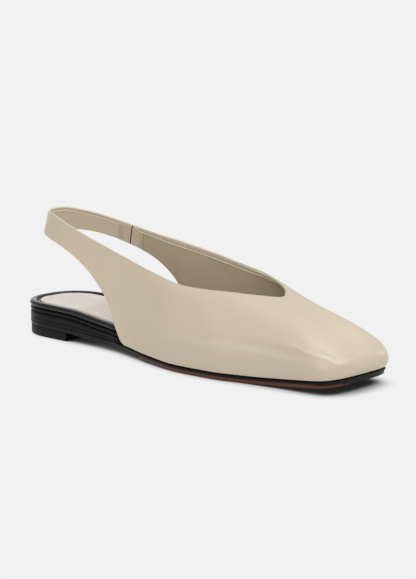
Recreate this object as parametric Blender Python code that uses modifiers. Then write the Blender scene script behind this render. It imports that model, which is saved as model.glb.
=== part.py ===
"""Sling back flat with a V throat and a square toe, a right shoe, in metres.

+X points to the toe, +Y to the inner side of the foot and +Z up. The origin is the middle of the
heel's tread on the floor. Stations are distances from the back end of the sole.
"""
import math
from collections import namedtuple

import bmesh
import bpy
from mathutils import Vector

# Plan of the sole
LENGTH = 0.265
HEEL_WIDTH = 0.056
WAIST_WIDTH = 0.0545
BALL_WIDTH = 0.0735
TOE_WIDTH = 0.058
HEEL_ROUND = 0.030
HEEL_FULLNESS = 2.35
TOE_ROUND = 0.014
TOE_SQUARENESS = 3.4
TOE_CENTRE = -0.0025

# Layers of the sole, from the floor up
LIFT_HEIGHT = 0.0062
LIFT_INSET = 0.0008
HEEL_SET_IN = 0.0004
LIFT_FRONT = 0.0482
HEEL_SOLE = 0.0029
FOREFOOT_SOLE = 0.0039
TOE_SPRING = 0.0048
WEDGE_HEIGHT = 0.0058
RAND_HEIGHT = 0.0025
FOOTBED_HEIGHT = 0.0034
SOCK_HEIGHT = 0.0010
RECESS = 0.0018
RIM_WIDTH = 0.0067
GROOVE_WIDTH = 0.0017
LIP_DEPTH = 0.0010

# The upper
WALL = 0.0018
STRAP_HEIGHT = 0.0797
STRAP_WIDTH = 0.0148
THROAT_HEIGHT = 0.044
TOPLINE_WIDTH = 0.056
TOE_BULGE = 0.0044
ELASTIC_WALL = 0.0012
ELASTIC_MARGIN = 0.12
SEAM_GAP = 0.0007

# Room between pieces
GAP = 0.0003
FEATHER_GAP = 0.0005
TUCK_ROOM = 0.0014
COVER_RAMP = 0.004
COVER_SQUEEZE = 0.85
TUCK = WALL + TUCK_ROOM

# How finely the forms are drawn
HEEL_STEPS = 9
SIDE_STEPS = 22
TOE_STEPS = 8
REAR_RIBS = 18
FRONT_RIBS = 33
WALL_ROWS = 11
ELASTIC_RIBS = 7
ELASTIC_ROWS = 4
SHARP_EDGE = math.radians(40)

# How finely places and directions on the upper are worked out
ALONG_STEP = 0.01
SURFACE_STEP = 0.02
PATH_STEPS = 200
HALVINGS = 40
NEAREST_RIB = 0.008
NEAREST_STATION = 0.004

LATERAL, MEDIAL = -1, 1

# Half widths of the sole at stations along it, as shares of the width they follow
Edge = namedtuple("Edge", "station width lateral medial")
OUTLINE = (
    Edge(0.113, HEEL_WIDTH, 0.500, 0.500),
    Edge(0.226, HEEL_WIDTH, 0.504, 0.482),
    Edge(0.321, WAIST_WIDTH, 0.532, 0.450),
    Edge(0.408, WAIST_WIDTH, 0.606, 0.413),
    Edge(0.491, BALL_WIDTH, 0.524, 0.320),
    Edge(0.604, BALL_WIDTH, 0.585, 0.374),
    Edge(0.698, BALL_WIDTH, 0.571, 0.412),
    Edge(0.777, BALL_WIDTH, 0.510, 0.384),
    Edge(0.875, TOE_WIDTH, 0.586, 0.430),
    Edge(0.943, TOE_WIDTH, 0.569, 0.438),
    Edge(1.000, TOE_WIDTH, 0.530, 0.445),
)

# How the sole's layers rise and thin along the length
Level = namedtuple("Level", "station share")
HEEL_PITCH = (Level(0.000, 1.00), Level(0.180, 0.87), Level(0.300, 0.58), Level(0.380, 0.42),
              Level(0.453, 0.25), Level(0.530, 0.09), Level(0.604, 0.00), Level(1.000, 0.00))
TOE_LIFT = (Level(0.000, 0.00), Level(0.740, 0.00), Level(0.800, 0.08), Level(0.870, 0.33),
            Level(0.943, 0.70), Level(1.000, 1.00))
SOLE_GROWTH = (Level(0.000, 0.00), Level(0.200, 0.10), Level(0.380, 1.00), Level(1.000, 1.00))
WEDGE_FALL = (Level(0.000, 1.00), Level(0.190, 1.03), Level(0.300, 0.74), Level(0.380, 0.50),
              Level(0.470, 0.24), Level(0.580, 0.00), Level(1.000, 0.00))
RAND_FALL = (Level(0.000, 1.00), Level(0.400, 1.00), Level(0.540, 0.50), Level(0.640, 0.00),
             Level(1.000, 0.00))
WEDGE_END = 0.455
RAND_END = 0.545

# The edge of each layer: how far it stands back, as a share of the lip's depth, at a share of the
# layer's height
Lip = namedtuple("Lip", "inset share")
RECESS_SHARE = 1 - RECESS / FOOTBED_HEIGHT
GROOVE_EDGE = (RIM_WIDTH - GROOVE_WIDTH) / LIP_DEPTH
BEAD = (Lip(1.2, 0.00), Lip(0.3, 0.25), Lip(0.0, 0.60), Lip(0.3, 0.86), Lip(1.2, 1.00),
        Lip(GROOVE_EDGE - 1.4, 1.00), Lip(GROOVE_EDGE - 0.4, 0.85), Lip(GROOVE_EDGE, RECESS_SHARE))
RIDGE = (Lip(1.4, 0.00), Lip(0.6, 0.25), Lip(0.6, 0.75), Lip(1.4, 1.00))
BAND = (Lip(1.5, 0.00), Lip(0.8, 0.12), Lip(0.8, 0.88), Lip(1.5, 1.00))
SOLE_EDGE = (Lip(1.6, 0.00), Lip(0.8, 0.12), Lip(0.7, 0.58), Lip(0.1, 0.66), Lip(0.0, 0.92), Lip(0.4, 1.00))
LIFT_EDGE = (Lip(0.5, 0.00), Lip(0.0, 0.10), Lip(0.0, 0.90), Lip(0.3, 1.00))
FLAT_EDGE = (Lip(0.2, 0.00), Lip(0.0, 0.50), Lip(0.4, 1.00))

# The topline from the heel to the V's tip: stations as shares of the length, distances across as
# shares of the topline's width, and heights as shares of the way from the throat to the strap's top
Collar = namedtuple("Collar", "station lateral medial high_lateral high_medial")
TOPLINE = (
    Collar(0.0408, 0.000, 0.000, 1.000, 1.000),
    Collar(0.0498, 0.134, 0.134, 0.992, 0.997),
    Collar(0.0740, 0.254, 0.254, 0.980, 0.952),
    Collar(0.1132, 0.350, 0.343, 0.964, 0.894),
    Collar(0.1698, 0.429, 0.414, 0.880, 0.801),
    Collar(0.2604, 0.468, 0.454, 0.689, 0.669),
    Collar(0.3774, 0.509, 0.486, 0.475, 0.521),
    Collar(0.4906, 0.541, 0.500, 0.282, 0.387),
    Collar(0.5660, 0.536, 0.489, 0.155, 0.289),
    Collar(0.6264, 0.473, 0.454, 0.113, 0.218),
    Collar(0.6830, 0.366, 0.371, 0.096, 0.132),
    Collar(0.7283, 0.214, 0.254, 0.056, 0.062),
    Collar(0.7698, -0.023, 0.023, 0.000, 0.000),
)

# The strap's lower edge and the quarter's rear edge, down to the sole: heights as shares of the
# strap's lower edge at the heel
Rear = namedtuple("Rear", "station across height")
REAR_LATERAL = (
    Rear(0.0309, 0.000, 1.000),
    Rear(0.0415, 0.161, 0.998),
    Rear(0.0660, 0.286, 0.994),
    Rear(0.1057, 0.400, 0.978),
    Rear(0.1623, 0.477, 0.935),
    Rear(0.2264, 0.507, 0.841),
    Rear(0.2868, 0.529, 0.697),
    Rear(0.3396, 0.545, 0.488),
    Rear(0.3679, 0.554, 0.252),
)
REAR_MEDIAL = (
    Rear(0.0309, 0.000, 1.000),
    Rear(0.0415, 0.161, 0.992),
    Rear(0.0660, 0.286, 0.980),
    Rear(0.1057, 0.400, 0.954),
    Rear(0.1660, 0.464, 0.901),
    Rear(0.2415, 0.482, 0.819),
    Rear(0.3019, 0.486, 0.715),
    Rear(0.3560, 0.473, 0.557),
    Rear(0.3880, 0.446, 0.341),
)
QUARTER_FOOT = {LATERAL: 0.3906, MEDIAL: 0.4110}
QUARTER_TOP = 0.362

# How a rib of the upper runs from the topline to the lower edge: along is 0 at the heel, 1 at the
# quarter's foot and 2 at the toe, and the bulge is a share of the toe's
Rib = namedtuple("Rib", "along fall round bulge")
RIBS = (
    Rib(0.00, 1.00, 1.00, 0.07),
    Rib(0.50, 1.00, 1.05, 0.14),
    Rib(1.00, 1.15, 1.30, 0.27),
    Rib(1.35, 1.60, 1.80, 0.32),
    Rib(1.60, 1.44, 1.97, 0.45),
    Rib(1.82, 1.04, 1.97, 0.82),
    Rib(2.00, 0.93, 1.97, 1.00),
)

# Behind the quarter's foot, shares of the rear edge and of the topline above it that a rib joins;
# ahead of it, how the ribs crowd towards the V's tip
REAR_PAIRS = ((0.00, 0.00), (0.35, 0.485), (0.421, 0.605), (0.512, 0.70), (0.68, 0.815), (0.90, 0.935),
              (1.00, 1.00))
FAN = 1.45

# Places on the medial strap, as shares of the way from the heel to the quarter's foot
SEAM_ALONG = 0.421
ELASTIC_BACK = 0.35
ELASTIC_FRONT = 0.512

TREAD_CENTRE = (LIFT_INSET + LIFT_FRONT) / 2

# Colour, roughness and coat of each finish
Finish = namedtuple("Finish", "colour roughness coat")
FINISHES = {
    "cream_leather": Finish((0.64, 0.54, 0.40, 1.0), 0.45, 0.15),
    "sock_leather": Finish((0.74, 0.66, 0.55, 1.0), 0.55, 0.0),
    "black_polish": Finish((0.010, 0.010, 0.011, 1.0), 0.25, 0.4),
    "sole_leather": Finish((0.11, 0.040, 0.022, 1.0), 0.45, 0.1),
    "cream_elastic": Finish((0.55, 0.47, 0.35, 1.0), 0.80, 0.0),
    "lift_rubber": Finish((0.012, 0.012, 0.012, 1.0), 0.55, 0.0),
}


def smooth_value(points, x):
    """Monotone cubic through (x, y) pairs, level beyond the ends."""
    if x <= points[0][0]:
        return points[0][1]
    if x >= points[-1][0]:
        return points[-1][1]
    steps = [(b[1] - a[1]) / (b[0] - a[0]) for a, b in zip(points, points[1:])]
    slopes = [steps[0]]
    for before, after in zip(steps, steps[1:]):
        if before * after <= 0:
            slopes.append(0.0)
        else:
            slopes.append(2 * before * after / (before + after))
    slopes.append(steps[-1])
    index = max(i for i in range(len(points) - 1) if points[i][0] <= x)
    (x0, y0), (x1, y1) = points[index], points[index + 1]
    span = x1 - x0
    t = (x - x0) / span
    return (
        y0 * (2 * t ** 3 - 3 * t ** 2 + 1)
        + slopes[index] * span * (t ** 3 - 2 * t ** 2 + t)
        + y1 * (3 * t ** 2 - 2 * t ** 3)
        + slopes[index + 1] * span * (t ** 3 - t ** 2)
    )


def share_at(levels, x):
    """Share of a table of levels at a distance from the heel."""
    return smooth_value([(row.station * LENGTH, row.share) for row in levels], x)


class Path:
    """Smooth curve through points, read by the share of its length."""

    STEPS = 12

    def __init__(self, points):
        self.points = self._curve([Vector(point) for point in points])
        self.reach = [0.0]
        for a, b in zip(self.points, self.points[1:]):
            self.reach.append(self.reach[-1] + (b - a).length)

    def _curve(self, knots):
        first = knots[0] * 2 - knots[1]
        last = knots[-1] * 2 - knots[-2]
        padded = [first] + knots + [last]
        curve = []
        for p0, p1, p2, p3 in zip(padded, padded[1:], padded[2:], padded[3:]):
            for step in range(self.STEPS):
                t = step / self.STEPS
                curve.append(0.5 * (
                    2 * p1 + (p2 - p0) * t
                    + (2 * p0 - 5 * p1 + 4 * p2 - p3) * t ** 2
                    + (3 * p1 - p0 - 3 * p2 + p3) * t ** 3))
        curve.append(knots[-1])
        return curve

    def at(self, share):
        goal = min(max(share, 0.0), 1.0) * self.reach[-1]
        for index in range(len(self.points) - 1):
            if self.reach[index + 1] >= goal:
                span = self.reach[index + 1] - self.reach[index]
                t = (goal - self.reach[index]) / span if span > 0 else 0.0
                return self.points[index].lerp(self.points[index + 1], t)
        return self.points[-1].copy()


def half_width(side, x):
    """Distance from the middle line to the sole's edge, before the heel and toe are rounded."""
    if side == LATERAL:
        rows = [(row.station * LENGTH, row.lateral * row.width) for row in OUTLINE]
    else:
        rows = [(row.station * LENGTH, row.medial * row.width) for row in OUTLINE]
    return smooth_value(rows, x)


def side_points(side, end, extra=()):
    """Points of one side of the sole's outline, from the heel's back to the toe or to a station."""
    points = []
    for step in range(HEEL_STEPS):
        angle = math.pi / 2 * step / HEEL_STEPS
        x = HEEL_ROUND * (1 - math.cos(angle) ** (2 / HEEL_FULLNESS))
        reach = math.sin(angle) ** (2 / HEEL_FULLNESS)
        points.append((x, side * half_width(side, HEEL_ROUND) * reach))
    straight_end = min(end, LENGTH - TOE_ROUND)
    steps = max(2, round(SIDE_STEPS * (straight_end - HEEL_ROUND) / (LENGTH - HEEL_ROUND)))
    stations = [HEEL_ROUND + (straight_end - HEEL_ROUND) * step / steps for step in range(steps + 1)]
    for x in sorted(stations + [place for place in extra if place < straight_end]):
        points.append((x, side * half_width(side, x)))
    if end >= LENGTH:
        for step in range(1, TOE_STEPS + 1):
            angle = math.pi / 2 * step / TOE_STEPS
            x = LENGTH - TOE_ROUND + TOE_ROUND * math.sin(angle) ** (2 / TOE_SQUARENESS)
            reach = max(math.cos(angle), 0.0) ** (2 / TOE_SQUARENESS)
            points.append((x, TOE_CENTRE + (side * half_width(side, x) - TOE_CENTRE) * reach))
        points[-1] = (LENGTH, TOE_CENTRE)
    return points


def sole_bottom(x):
    return LIFT_HEIGHT * share_at(HEEL_PITCH, x) + TOE_SPRING * share_at(TOE_LIFT, x)


def sole_top(x):
    growth = share_at(SOLE_GROWTH, x)
    return sole_bottom(x) + HEEL_SOLE + (FOREFOOT_SOLE - HEEL_SOLE) * growth


def wedge_top(x):
    return sole_top(x) + (WEDGE_HEIGHT + GAP) * share_at(WEDGE_FALL, x)


def rand_top(x):
    return wedge_top(x) + (RAND_HEIGHT + GAP) * share_at(RAND_FALL, x)


def footbed_top(x):
    return rand_top(x) + GAP + FOOTBED_HEIGHT


def recess_floor(x):
    return footbed_top(x) - RECESS


def sock_top(x):
    return recess_floor(x) + GAP + SOCK_HEIGHT


def over(level):
    """The underside of what lies on a level."""
    return lambda x: level(x) + GAP


def rear_path(side):
    """The strap's lower edge and the quarter's rear edge, down to the sole."""
    low = STRAP_HEIGHT - STRAP_WIDTH
    rows = REAR_LATERAL if side == LATERAL else REAR_MEDIAL
    points = [(row.station * LENGTH, side * row.across * TOPLINE_WIDTH, row.height * low) for row in rows]
    foot = QUARTER_FOOT[side] * LENGTH
    points.append((foot, side * half_width(side, foot), sole_top(foot) + FEATHER_GAP))
    return Path(points)


def topline_path(side):
    drop = STRAP_HEIGHT - THROAT_HEIGHT
    points = []
    for row in TOPLINE:
        across = row.lateral if side == LATERAL else row.medial
        high = row.high_lateral if side == LATERAL else row.high_medial
        points.append((row.station * LENGTH, side * across * TOPLINE_WIDTH, THROAT_HEIGHT + drop * high))
    return Path(points)


def feather_path(side):
    """The upper's lower edge, from the quarter's foot to the middle of the toe."""
    foot = QUARTER_FOOT[side] * LENGTH
    points = [(foot, side * half_width(side, foot), sole_top(foot) + FEATHER_GAP)]
    for x, y in side_points(side, LENGTH):
        if x > foot + NEAREST_STATION:
            points.append((x, y, sole_top(x) + FEATHER_GAP))
    return Path(points)


class Upper:
    """The upper's outer surface, read by side, place along the shoe and row down the wall."""

    def __init__(self):
        self.rear = {side: rear_path(side) for side in (LATERAL, MEDIAL)}
        self.top = {side: topline_path(side) for side in (LATERAL, MEDIAL)}
        self.feather = {side: feather_path(side) for side in (LATERAL, MEDIAL)}

    def ends(self, side, along):
        """Where a rib starts on the topline and where it ends on the lower edge."""
        if along <= 1:
            share = smooth_value(REAR_PAIRS, along)
            return self.top[side].at(QUARTER_TOP_SHARE[side] * share), self.rear[side].at(along)
        ahead = along - 1
        start = QUARTER_TOP_SHARE[side]
        fan = 1 - (1 - ahead) ** FAN
        return self.top[side].at(start + (1 - start) * fan), self.feather[side].at(ahead)

    def outward(self, side, along):
        """Level direction away from the foot at the lower edge."""
        before = self.ends(side, max(along - ALONG_STEP, 0.0))[1]
        after = self.ends(side, min(along + ALONG_STEP, RIBS[-1].along))[1]
        run = after - before
        return (Vector((run.y, -run.x, 0.0)) * -side).normalized()

    def point(self, side, along, down):
        top, low = self.ends(side, along)
        fall = smooth_value([(row.along, row.fall) for row in RIBS], along)
        round_off = smooth_value([(row.along, row.round) for row in RIBS], along)
        bulge = TOE_BULGE * smooth_value([(row.along, row.bulge) for row in RIBS], along)
        angle = math.pi / 2 * down
        across = math.sin(angle) ** (2 / fall)
        height = max(math.cos(angle), 0.0) ** (2 / round_off)
        place = top.lerp(low, across)
        place.z = low.z + (top.z - low.z) * height
        return place + self.outward(side, along) * bulge * math.sin(math.pi * down ** 3)

    def inner_point(self, side, along, down, depth):
        """A point that lies a depth inside the outer surface."""
        step = SURFACE_STEP
        run = self.point(side, along + step, down) - self.point(side, along - step, down)
        fall = self.point(side, along, down + step) - self.point(side, along, down - step)
        outward = run.cross(fall).normalized() * side
        return self.point(side, along, down) - outward * depth


def share_of_station(path, station):
    """Share of a path's length at which it passes a station."""
    low, high = 0.0, 1.0
    for _ in range(HALVINGS):
        middle = (low + high) / 2
        if path.at(middle).x < station:
            low = middle
        else:
            high = middle
    return (low + high) / 2


QUARTER_TOP_SHARE = {
    side: share_of_station(topline_path(side), QUARTER_TOP * LENGTH) for side in (LATERAL, MEDIAL)
}


def make_material(name):
    finish = FINISHES[name]
    material = bpy.data.materials.new(name)
    material.use_nodes = True
    shader = material.node_tree.nodes["Principled BSDF"]
    shader.inputs["Base Color"].default_value = finish.colour
    shader.inputs["Roughness"].default_value = finish.roughness
    shader.inputs["Metallic"].default_value = 0.0
    shader.inputs["Coat Weight"].default_value = finish.coat
    material.diffuse_color = finish.colour
    return material


def add_object(name, mesh, material, collection):
    mesh.materials.append(material)
    item = bpy.data.objects.new(name, mesh)
    item.location = (-TREAD_CENTRE, 0.0, 0.0)
    collection.objects.link(item)
    mesh.shade_smooth()
    mesh.set_sharp_from_angle(angle=SHARP_EDGE)
    return item


def mesh_from(name, vertices, faces):
    """Mesh of a closed form, with its faces turned outwards."""
    shape = bmesh.new()
    made = [shape.verts.new(vertex) for vertex in vertices]
    for face in faces:
        corners = [made[index] for index in dict.fromkeys(face)]
        if len(corners) > 2:
            shape.faces.new(corners)
    bmesh.ops.recalc_face_normals(shape, faces=shape.faces)
    mesh = bpy.data.meshes.new(name)
    shape.to_mesh(mesh)
    shape.free()
    return mesh


def offset_ring(ring, insets):
    """Ring of plan points, each moved inwards from both edges that meet at it."""
    moved = []
    count = len(ring)
    for index in range(count):
        place = Vector(ring[index])
        run_in = (place - Vector(ring[index - 1])).normalized()
        run_out = (Vector(ring[(index + 1) % count]) - place).normalized()
        normal_in = Vector((-run_in.y, run_in.x))
        normal_out = Vector((-run_out.y, run_out.x))
        reach = insets[index] / (1 + normal_in.dot(normal_out))
        moved.append(tuple(place + (normal_in + normal_out) * reach))
    return moved


def cover_start(side, level):
    """Station from which the upper's wall passes beside a layer."""
    path = rear_path(side)
    foot = QUARTER_FOOT[side] * LENGTH
    height = level(foot)
    for step in range(PATH_STEPS, 0, -1):
        place = path.at(step / PATH_STEPS)
        if place.z > height:
            return place.x
    return foot


def slab(bottom, top, lips, end=LENGTH, inset=0.0, set_in=0.0, covered=False):
    """Vertices and faces of one layer of the sole, with the edge that its lips give."""
    covers = {side: cover_start(side, top) for side in (LATERAL, MEDIAL)}
    extra = [covers[side] - ramp for side in covers for ramp in (COVER_RAMP, 0.0)] if covered else []
    lateral = side_points(LATERAL, end, extra)
    medial = side_points(MEDIAL, end, extra)
    toe_closed = end >= LENGTH
    back_along = medial[1:-1] if toe_closed else medial[1:]
    ring = lateral + back_along[::-1]
    base_insets, squeezes = [], []
    for x, y in ring:
        side = LATERAL if y < 0 else MEDIAL
        tuck = min(max((x - covers[side]) / COVER_RAMP + 1, 0.0), 1.0) if covered else 0.0
        step_in = set_in * (1 - share_at(SOLE_GROWTH, x))
        squeezes.append(1 - COVER_SQUEEZE * tuck)
        base_insets.append(inset * squeezes[-1] + step_in + TUCK * tuck)
    vertices = []
    for lip in lips:
        depth = LIP_DEPTH * lip.inset
        reaches = [base + depth * squeeze for base, squeeze in zip(base_insets, squeezes)]
        moved = offset_ring(ring, reaches)
        for (x, y), (station, _) in zip(moved, ring):
            low, high = bottom(station), top(station)
            vertices.append((x, y, low + (high - low) * lip.share))
    count = len(ring)
    faces = []
    for row in range(len(lips) - 1):
        for index in range(count):
            after = (index + 1) % count
            faces.append((row * count + index, row * count + after,
                          (row + 1) * count + after, (row + 1) * count + index))
    faces += cap_faces(count, len(lateral), toe_closed, 0)
    faces += cap_faces(count, len(lateral), toe_closed, (len(lips) - 1) * count)
    return vertices, faces


def cap_faces(count, side_count, toe_closed, start):
    """Strips straight across a layer, between its lateral and medial points."""
    strips = side_count - 1
    faces = []
    for index in range(strips):
        right = start + index
        right_next = start + index + 1
        left = start + (count - index) % count
        left_next = start + (count - index - 1) % count
        if toe_closed and index == strips - 1:
            left_next = right_next
        faces.append((right, right_next, left_next, left))
    return faces


def make_layers(collection, materials):
    """The sole's layers, from the floor up."""
    layers = (
        ("top_lift", "lift_rubber", lambda x: 0.0, lambda x: sole_bottom(x) - GAP, LIFT_EDGE,
         LIFT_FRONT + LIFT_INSET, LIFT_INSET, 0.0, False),
        ("outsole", "sole_leather", sole_bottom, sole_top, SOLE_EDGE, LENGTH, 0.0, HEEL_SET_IN, False),
        ("heel_wedge", "black_polish", over(sole_top), wedge_top, BAND, WEDGE_END * LENGTH,
         0.0, 0.0, True),
        ("rand", "black_polish", over(wedge_top), rand_top, RIDGE, RAND_END * LENGTH, 0.0, 0.0, True),
        ("footbed_rim", "black_polish", over(rand_top), footbed_top, BEAD, LENGTH, 0.0, 0.0, True),
        ("insole_sock", "sock_leather", over(recess_floor), sock_top, FLAT_EDGE, LENGTH,
         RIM_WIDTH, 0.0, True),
    )
    for name, finish, bottom, top, lips, end, inset, set_in, covered in layers:
        vertices, faces = slab(bottom, top, lips, end, inset, set_in, covered)
        add_object(name, mesh_from(name, vertices, faces), materials[finish], collection)


def wall_object(name, rows, thickness, material, collection):
    """Open sheet of rows of points, given a wall towards the foot."""
    width = len(rows[0])
    vertices = [point for row in rows for point in row]
    shape = bmesh.new()
    made = [shape.verts.new(vertex) for vertex in vertices]
    for row in range(len(rows) - 1):
        for column in range(width - 1):
            first = row * width + column
            shape.faces.new((made[first], made[first + 1], made[first + width + 1], made[first + width]))
    mesh = bpy.data.meshes.new(name)
    shape.to_mesh(mesh)
    shape.free()
    item = add_object(name, mesh, material, collection)
    wall = item.modifiers.new("wall", "SOLIDIFY")
    wall.thickness = thickness
    wall.offset = -1.0
    wall.use_even_offset = True
    wall.use_rim = True
    return item


def rib_places(seam_along):
    """Sides and places of the ribs, from the seam round the heel and the toe back to the seam."""
    half_gap = SEAM_GAP / 2 / UPPER.rear[MEDIAL].reach[-1]
    rear = [step / REAR_RIBS for step in range(1, REAR_RIBS + 1)]
    front = [1 + step / FRONT_RIBS for step in range(1, FRONT_RIBS + 1)]
    behind = [along for along in reversed(rear) if along < seam_along - half_gap - NEAREST_RIB]
    ahead = [along for along in reversed(rear) if along > seam_along + half_gap + NEAREST_RIB]
    places = [(MEDIAL, seam_along - half_gap)]
    places += [(MEDIAL, along) for along in behind]
    places += [(LATERAL, 0.0)]
    places += [(LATERAL, along) for along in rear + front]
    places += [(MEDIAL, along) for along in reversed(front[:-1])]
    places += [(MEDIAL, along) for along in ahead]
    places += [(MEDIAL, seam_along + half_gap)]
    return places


def make_upper(collection, materials):
    rows = []
    for side, along in rib_places(SEAM_ALONG):
        rows.append([UPPER.point(side, along, row / WALL_ROWS) for row in range(WALL_ROWS + 1)])
    return wall_object("upper", rows, WALL, materials["cream_leather"], collection)


def make_gore(collection, materials):
    """The elastic patch inside the medial strap, behind the cut."""
    rows = []
    for rib in range(ELASTIC_RIBS + 1):
        along = ELASTIC_FRONT + (ELASTIC_BACK - ELASTIC_FRONT) * rib / ELASTIC_RIBS
        row = []
        for step in range(ELASTIC_ROWS + 1):
            down = ELASTIC_MARGIN + (1 - 2 * ELASTIC_MARGIN) * step / ELASTIC_ROWS
            row.append(UPPER.inner_point(MEDIAL, along, down, WALL + GAP))
        rows.append(row)
    return wall_object("gore_elastic", rows, ELASTIC_WALL, materials["cream_elastic"], collection)


UPPER = Upper()


def main():
    for item in list(bpy.data.objects):
        bpy.data.objects.remove(item)
    collection = bpy.data.collections.new("sling_back_flat")
    bpy.context.scene.collection.children.link(collection)
    materials = {name: make_material(name) for name in FINISHES}
    make_layers(collection, materials)
    make_upper(collection, materials)
    make_gore(collection, materials)


main()
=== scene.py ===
"""Dresses a sling back flat: leather, lining, elastic, sock, polished edges and sole, with its stage.

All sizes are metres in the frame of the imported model: +X to the toe, +Y to the inner side of the
foot, +Z up, and the origin in the middle of the heel's tread. Stations are distances from the back
end of the sole.
"""
import math
from collections import namedtuple

import bmesh
import bpy
import numpy as np
from bpy.props import FloatProperty, FloatVectorProperty, IntProperty, PointerProperty
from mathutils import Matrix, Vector


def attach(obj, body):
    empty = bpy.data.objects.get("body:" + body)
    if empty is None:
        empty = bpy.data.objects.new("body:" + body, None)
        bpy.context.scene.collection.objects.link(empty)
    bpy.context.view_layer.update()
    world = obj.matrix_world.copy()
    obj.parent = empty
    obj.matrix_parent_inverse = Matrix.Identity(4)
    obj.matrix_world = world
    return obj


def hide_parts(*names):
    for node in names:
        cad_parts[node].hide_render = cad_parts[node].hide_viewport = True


bl_info = {
    "name": "Sling back flat",
    "version": (1, 0, 0),
    "blender": (4, 5, 0),
    "location": "View3D > Sidebar > Shoe",
    "description": "Makes a sling back flat from leather, lining, elastic and a layered sole",
    "category": "Add Mesh",
}

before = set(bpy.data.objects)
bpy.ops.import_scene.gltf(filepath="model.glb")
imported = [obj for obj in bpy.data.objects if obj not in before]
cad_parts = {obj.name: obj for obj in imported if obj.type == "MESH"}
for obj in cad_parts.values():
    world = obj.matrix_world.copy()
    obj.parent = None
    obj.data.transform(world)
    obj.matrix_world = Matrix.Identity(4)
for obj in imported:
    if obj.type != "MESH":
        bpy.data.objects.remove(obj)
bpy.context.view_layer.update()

# Plan of the sole
LENGTH = 0.265
HEEL_WIDTH = 0.056
WAIST_WIDTH = 0.0545
BALL_WIDTH = 0.0735
TOE_WIDTH = 0.058
HEEL_ROUND = 0.030
HEEL_FULLNESS = 2.35
TOE_ROUND = 0.014
TOE_SQUARENESS = 3.4
TOE_CENTRE = -0.0025

# Layers of the sole, from the floor up
LIFT_HEIGHT = 0.0062
LIFT_INSET = 0.0008
HEEL_SET_IN = 0.0004
LIFT_FRONT = 0.0482
HEEL_SOLE = 0.0029
FOREFOOT_SOLE = 0.0039
TOE_SPRING = 0.0048
WEDGE_HEIGHT = 0.0058
RAND_HEIGHT = 0.0025
FOOTBED_HEIGHT = 0.0034
SOCK_HEIGHT = 0.0010
RECESS = 0.0018
RIM_WIDTH = 0.0067
GROOVE_WIDTH = 0.0017
LIP_DEPTH = 0.0010
TREAD_CENTRE = (LIFT_INSET + LIFT_FRONT) / 2

# The upper
STRAP_HEIGHT = 0.0797
STRAP_WIDTH = 0.0148
THROAT_HEIGHT = 0.044
TOPLINE_WIDTH = 0.056
TOE_BULGE = 0.0044
GAP = 0.0003
FEATHER_GAP = 0.0005
TUCK = 0.0032
COVER_RAMP = 0.004
COVER_SQUEEZE = 0.85

LATERAL, MEDIAL = -1, 1

Edge = namedtuple("Edge", "station width lateral medial")
OUTLINE = (
    Edge(0.113, HEEL_WIDTH, 0.500, 0.500),
    Edge(0.226, HEEL_WIDTH, 0.504, 0.482),
    Edge(0.321, WAIST_WIDTH, 0.532, 0.450),
    Edge(0.408, WAIST_WIDTH, 0.606, 0.413),
    Edge(0.491, BALL_WIDTH, 0.524, 0.320),
    Edge(0.604, BALL_WIDTH, 0.585, 0.374),
    Edge(0.698, BALL_WIDTH, 0.571, 0.412),
    Edge(0.777, BALL_WIDTH, 0.510, 0.384),
    Edge(0.875, TOE_WIDTH, 0.586, 0.430),
    Edge(0.943, TOE_WIDTH, 0.569, 0.438),
    Edge(1.000, TOE_WIDTH, 0.530, 0.445),
)

# How the sole's layers rise and thin along the length
Level = namedtuple("Level", "station share")
HEEL_PITCH = (Level(0.000, 1.00), Level(0.180, 0.87), Level(0.300, 0.58), Level(0.380, 0.42),
              Level(0.453, 0.25), Level(0.530, 0.09), Level(0.604, 0.00), Level(1.000, 0.00))
TOE_LIFT = (Level(0.000, 0.00), Level(0.740, 0.00), Level(0.800, 0.08), Level(0.870, 0.33),
            Level(0.943, 0.70), Level(1.000, 1.00))
SOLE_GROWTH = (Level(0.000, 0.00), Level(0.200, 0.10), Level(0.380, 1.00), Level(1.000, 1.00))
WEDGE_FALL = (Level(0.000, 1.00), Level(0.190, 1.03), Level(0.300, 0.74), Level(0.380, 0.50),
              Level(0.470, 0.24), Level(0.580, 0.00), Level(1.000, 0.00))
RAND_FALL = (Level(0.000, 1.00), Level(0.400, 1.00), Level(0.540, 0.50), Level(0.640, 0.00),
             Level(1.000, 0.00))
WEDGE_END = 0.455
RAND_END = 0.545

# Black inking on the sole's edge: share of the edge's height above which it is black. Towards the toe's front
# the black comes further down as painted shade, where the brown is hidden in shadow
INK_LINE = (Level(0.000, -0.20), Level(0.430, -0.20), Level(0.475, 0.40), Level(0.560, 0.56),
            Level(0.930, 0.56), Level(0.975, 0.50), Level(0.992, 0.44), Level(0.9993, 0.14),
            Level(1.000, -0.10))

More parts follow.
